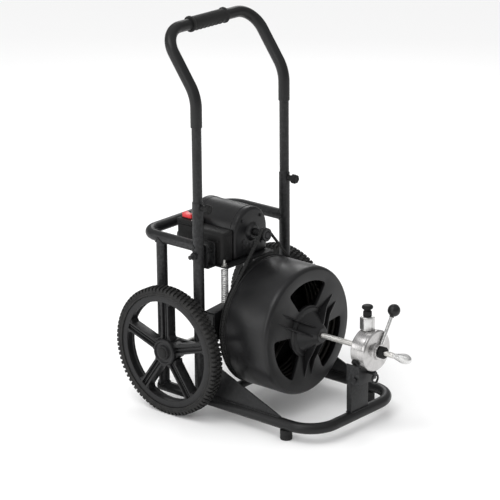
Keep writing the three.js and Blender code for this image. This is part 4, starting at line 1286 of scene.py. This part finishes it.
def build_motor_plate():
    thickness, hinge, right, left, front, rear = 4.0, -134, -108, 62, -44, 46
    tongue, side = hinge + 3, right + 3
    outline = [(tongue, EAR_FRONT), (side, EAR_FRONT), (side, front), (left, front), (left, rear),
               (side, rear), (side, EAR_REAR), (tongue, EAR_REAR)]
    parts = [plate(rounded(outline, [1, 1, 6, 6, 6, 6, 1, 1], 3), (), thickness, 0.8, "Z", PLATE_LOW)]
    ear = rounded([(EAR_FRONT, PLATE_LOW + 3), (EAR_FRONT, EAR_TOP), (EAR_REAR, EAR_TOP),
                   (EAR_REAR, PLATE_LOW + 3)], [1, 7, 7, 1], 5)
    turns = [pi / 2 * k / 6 for k in range(7)]
    for outer in (hinge, right):
        parts.append(plate(ear, (), thickness, 0.8, "X", outer))
        bend = []
        for r, order in ((7, turns), (3, reversed(turns))):
            bend += [(outer + 7 - r * sin(turn), PLATE_LOW + 7 - r * cos(turn)) for turn in order]
        parts.append(plate(bend, (), EAR_REAR - EAR_FRONT, 0.4, "Y", EAR_FRONT))
    piece("tilting_plate", parts, frame_paint, "motor_mount", ["motor_plate"])


def threaded(radius, start, end, centre, side, sides=24):
    """A short run of screw thread along X."""
    half_pitch, depth = 0.6, 0.5
    count = max(2, int((end - start) / half_pitch))
    profile = [(0, start)]
    for k in range(count + 1):
        profile.append((radius - (depth if k % 2 else 0), start + (end - start) * k / count))
    profile.append((0, end))
    return turned(mirrored(profile, side), centre, "X", sides)


def build_pivot():
    centre = (0, 0, PIVOT_Z)
    head = [(0, 99.8), (7.4, 99.8), (8, 100.6), (8, 103.6), (5, 103.6), (5, 163), (0, 163)]
    outside = (-164.4, 0, PIVOT_Z)
    parts = [turned(mirrored(head, -1), centre, "X", 32), washer(9.8, 4, 1.2, outside, "X"),
             hex_head(15.6, 6, outside, "X", -1, 0.35), threaded(5, 168, 180.9, centre, -1)]
    piece("pivot_pin", parts, frame_paint, "frame", ["pivot_bolt"])


def build_spring():
    x, y, low, high = -98, -31, 256.4, 342.2
    wire, radius, pitch, per_turn = 1.65, 7.4, 4.4, 22
    turns = (high - low - 6) / pitch
    points = [Vector((x, y, low + 1)), Vector((x + 3, y, low + 1.8))]
    for k in range(int(turns * per_turn) + 1):
        angle, rise = TAU * k / per_turn, pitch * k / per_turn
        points.append(Vector((x + radius * cos(angle), y + radius * sin(angle), low + 3 + rise)))
    points += [Vector((x + 3, y, high - 1.8)), Vector((x, y, high - 1))]
    stretch = ("frame", "motor_mount", (0, 0, low + 4), (0, 0, high - 4))
    piece("tension_spring", [swept(points, wire, 10)], spring_steel, stretch, ["belt_spring"])
    piece("spring_anchor", [hex_head(12, 5, (x, y, 256), "Z", 1, 0.2)], zinc_steel, "frame")
    stud = [(0, 346.4), (7.5, 346.4), (7.5, 347.6), (3.2, 347.8), (3.2, 360), (2.4, 361), (0, 361)]
    bolt = [turned(stud, (x, y, 0), "Z", 28), hex_head(10, 6, (x, y, 347.6), "Z", 1, 0.5)]
    piece("spring_bolt", bolt, zinc_steel, "motor_mount")


build_motor()
build_capacitor_box()
build_motor_plate()
build_pivot()
build_spring()

# ------------------------------------------------------------------ switch


def build_switch():
    low, high = (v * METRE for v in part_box("switch_box"))
    y0, y1 = low.y - UPRIGHT_Y * METRE, high.y - UPRIGHT_Y * METRE
    x0, x1, top = low.x, high.x, high.z
    rocker = centre_mm("switch_rocker")
    lower_outline = rectangle(x0 + 0.8, x1 - 0.8, y0 + 0.8, y1 - 0.8, 5, 4)
    lower = plate(lower_outline, (), top - 14 - low.z, 2, "Z", low.z)
    hole = rectangle(rocker.x - 9.4, rocker.x + 9.4, rocker.y - 13.9, rocker.y + 13.9, 1.5)
    lid = plate(rectangle(x0, x1, y0, y1, 5.5, 4), [hole], 12.6, 1.6, "Z", top - 13.4, 3)
    surround = rectangle(rocker.x - 12, rocker.x + 12, rocker.y - 16.4, rocker.y + 16.4, 2.5)
    bezel = plate(surround, [hole], 1.8, 0.7, "Z", top - 1.2)
    head = [(0, top - 0.6), (2.9, top - 0.6), (2.6, top + 0.2), (1.2, top + 0.6), (0, top + 0.6)]
    screws = [turned(head, (x, y0 + 6, 0), "Z", 20) for x in (x1 - 6, x0 + 6)]
    piece("switch_case", [lower, lid, bezel], black_plastic, "motor_mount", ["switch_box"])
    piece("switch_screws", screws, zinc_steel, "motor_mount")
    reach, steps = 13, 12
    backs = [-reach + 2 * reach * k / steps for k in range(steps + 1)]
    curve = [(y, 6.5 + 3.5 * (abs(y) / reach) ** 1.6) for y in backs]
    outline = [(y + rocker.y, z + top) for y, z in [*curve, (13, -1), (9, -6), (-9, -6), (-13, -1)]]
    button = plate(outline, (), 18, 1.1, "X", rocker.x - 9, 3)
    piece("rocker_button", [button], red_plastic, "rocker", ["switch_rocker"])
    gland = [(4, 105), (9, 105), (9, 112), (12, 112.4), (12.3, 113.4), (12.3, 116.4), (11.6, 117.2),
             (9.6, 117.4), (9.2, 118.4), (9.6, 119.4), (8.8, 120.2), (8.4, 121), (8.8, 122), (8.2, 123.2),
             (7.2, 124), (4, 124)]
    place = centre_mm("cord_gland")
    collar = turned(gland, (place.x, 0, place.z), sides=40, closed=True)
    piece("cord_collar", [collar], grip_rubber, "motor_mount", ["cord_gland"])


build_switch()

# ------------------------------------------------------------------ cable feed

KNOB_Y = centre_mm("hex_bushing").y
LEVER_TURN = Matrix.Rotation(radians(33), 4, "Y")
HEX_ACROSS, HEX_LOW, HEX_HEIGHT = 29.2, 46.2, 28.6
BALL_R, BALL_AT = 14.3, 98.3
PULL_RING_R, PULL_WIRE_R = 10, 2.45


def standing(profile, place, sides, shape=None):
    """A profile turned about the Z axis, then put in place."""
    return moved(turned(profile, axis="Z", sides=sides, shape=shape), place)


def build_feed():
    split, face, spigot = -386, -394.5, -404
    housing = rounded([(8, -350), (39.4, -350), (46, -355.4), (46, split + 0.4), (33, split + 0.4),
                       (33, -354), (8, -354)], [0.5, 1.5, 1.5, 0.8, 0.5, 0.5, 0.5], 3)
    case = turned(housing, DRUM_AT, sides=128, closed=True)
    piece("feed_case", [case], feed_aluminium, "frame", ["feed_housing"])
    collar = rounded([(8, split), (47.5, split), (47.5, face + 2.9), (44.9, face), (20.6, face),
                      (18, face - 2), (18, spigot), (8, spigot)], [0.5, 0.8, 1.2, 1.2, 1.2, 1.2, 1.0, 0.5], 3)
    disc = turned(collar, DRUM_AT, sides=128, closed=True)
    piece("feed_disc", [disc], feed_aluminium, "feed_lever", ["feed_collar"])
    ring = rounded([(8, -404.4), (12.4, -404.4), (13.5, -405.6), (13.5, -415), (12, -417), (8, -417)], 0.9, 3)
    bush = turned(ring, DRUM_AT, sides=56, closed=True)
    piece("nose_bush", [bush], black_plastic, "feed_lever", ["nose_ring"])
    place = Matrix.Translation((0, KNOB_Y, DRUM_Z))
    nut = plate(rounded(hexagon(HEX_ACROSS, radians(11)), 0.8, 3), (), HEX_HEIGHT, 1.0, "Z", HEX_LOW, 3)
    collar = rounded([(5.6, 73), (13.2, 73), (13.2, 75.2), (12.2, 76), (5.6, 76)], 0.4, 2)
    spigot = [(5.6, 37), (12, 37), (12, 48), (5.6, 48)]
    parts = [nut, *(turned(profile, axis="Z", sides=48, closed=True) for profile in (collar, spigot))]
    piece("knob_bushing", [moved(part, place) for part in parts], hex_aluminium, "frame", ["hex_bushing"])

    def knurled(r, along, angle):
        """Grooves down the barrel below the knob's mushroom top."""
        if r < 9.7 or along > 90:
            return r
        return r - 0.6 * (0.5 + 0.5 * cos(24 * angle))

    grip = [(0, 76.4), (9, 76.4), (9.5, 76.8), (9.9, 77.4), (9.9, 87), (9.5, 87.8), (8, 89.6), (6.6, 90.6),
            (6.3, 91.6), (7.2, 92.6), (9.6, 93.4), (11.6, 94.6), (12.7, 96.4), (12.8, 98), (12.2, 100.2),
            (10.2, 101.8), (7, 102.7), (0, 103)]
    head = standing(grip, place, 120, knurled)
    piece("feed_knob_head", [head], black_plastic, "feed_screw", ["feed_knob"])
    screw = [(0, 24.6), (4.6, 24.6), (4.6, 78), (0, 78)]
    piece("feed_screw_shank", [standing(screw, place, 24)], zinc_steel, "feed_screw")
    plug = [(0, 38), (9.6, 38), (10, 38.6), (10, 49.6), (9.2, 50.9), (7.4, 51.5), (5.6, 51.3), (5, 50.4),
            (5, 47.4), (0, 47)]
    for label, angle in (("left", 120), ("right", -120)):
        side_plug = standing(plug, place @ Matrix.Rotation(radians(angle), 4, "Y"), 40)
        piece(f"{label}_side_plug", [side_plug], black_plastic, "frame", [f"{label}_roller_plug"])


def build_lever():
    place = Matrix.Translation((0, -399, DRUM_Z)) @ LEVER_TURN
    rod = [(0, 13), (4.1, 13), (4.1, 84), (0, 84)]
    piece("lever_shaft", [standing(rod, place, 28)], bright_steel, "feed_lever", ["lever_rod"])
    steps = 24
    ball = [(0, 81.4), (4.6, 81.4), (5.2, 82.4), (5.2, 84.4)]
    for k in range(3, steps):
        turn = pi * k / steps
        ball.append((BALL_R * sin(turn), BALL_AT - BALL_R * cos(turn)))
    ball.append((0, BALL_AT + BALL_R))
    piece("lever_grip", [standing(ball, place, 56)], drum_plastic, "feed_lever", ["lever_ball"])


def build_lock_pin():
    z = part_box("lock_pin")[1].z * METRE - 4
    profile = [(0, -347), (3, -347), (4, -348), (4, -385), (5.4, -385.6), (5.4, -391), (0, -391.4)]
    pin = turned(profile, (0, 0, z), sides=24)
    loop = []
    for k in range(48):
        turn = TAU * k / 48
        loop.append(Vector((PULL_RING_R * sin(turn), -389, z - 11.5 + PULL_RING_R * cos(turn))))
    ring = swept(loop, PULL_WIRE_R, 12, closed=True)
    piece("pull_pin", [pin, ring], frame_paint, "mount_pin", ["lock_pin"])


def build_rollers():
    profile = [(0, -354.5), (3, -354.5), (3, -359), (6.8, -359), (8, -361), (8, -377), (6.8, -379), (3, -379),
               (3, -385.6), (0, -385.6)]
    for label in ("upper", "left", "right"):
        at = centre_mm(f"{label}_feed_roller")
        roller = turned(profile, (at.x, 0, at.z), sides=32)
        piece(f"{label}_drive_roller", [roller], zinc_steel, f"{label}_roller", [f"{label}_feed_roller"])


build_feed()
build_lever()
build_lock_pin()
build_rollers()
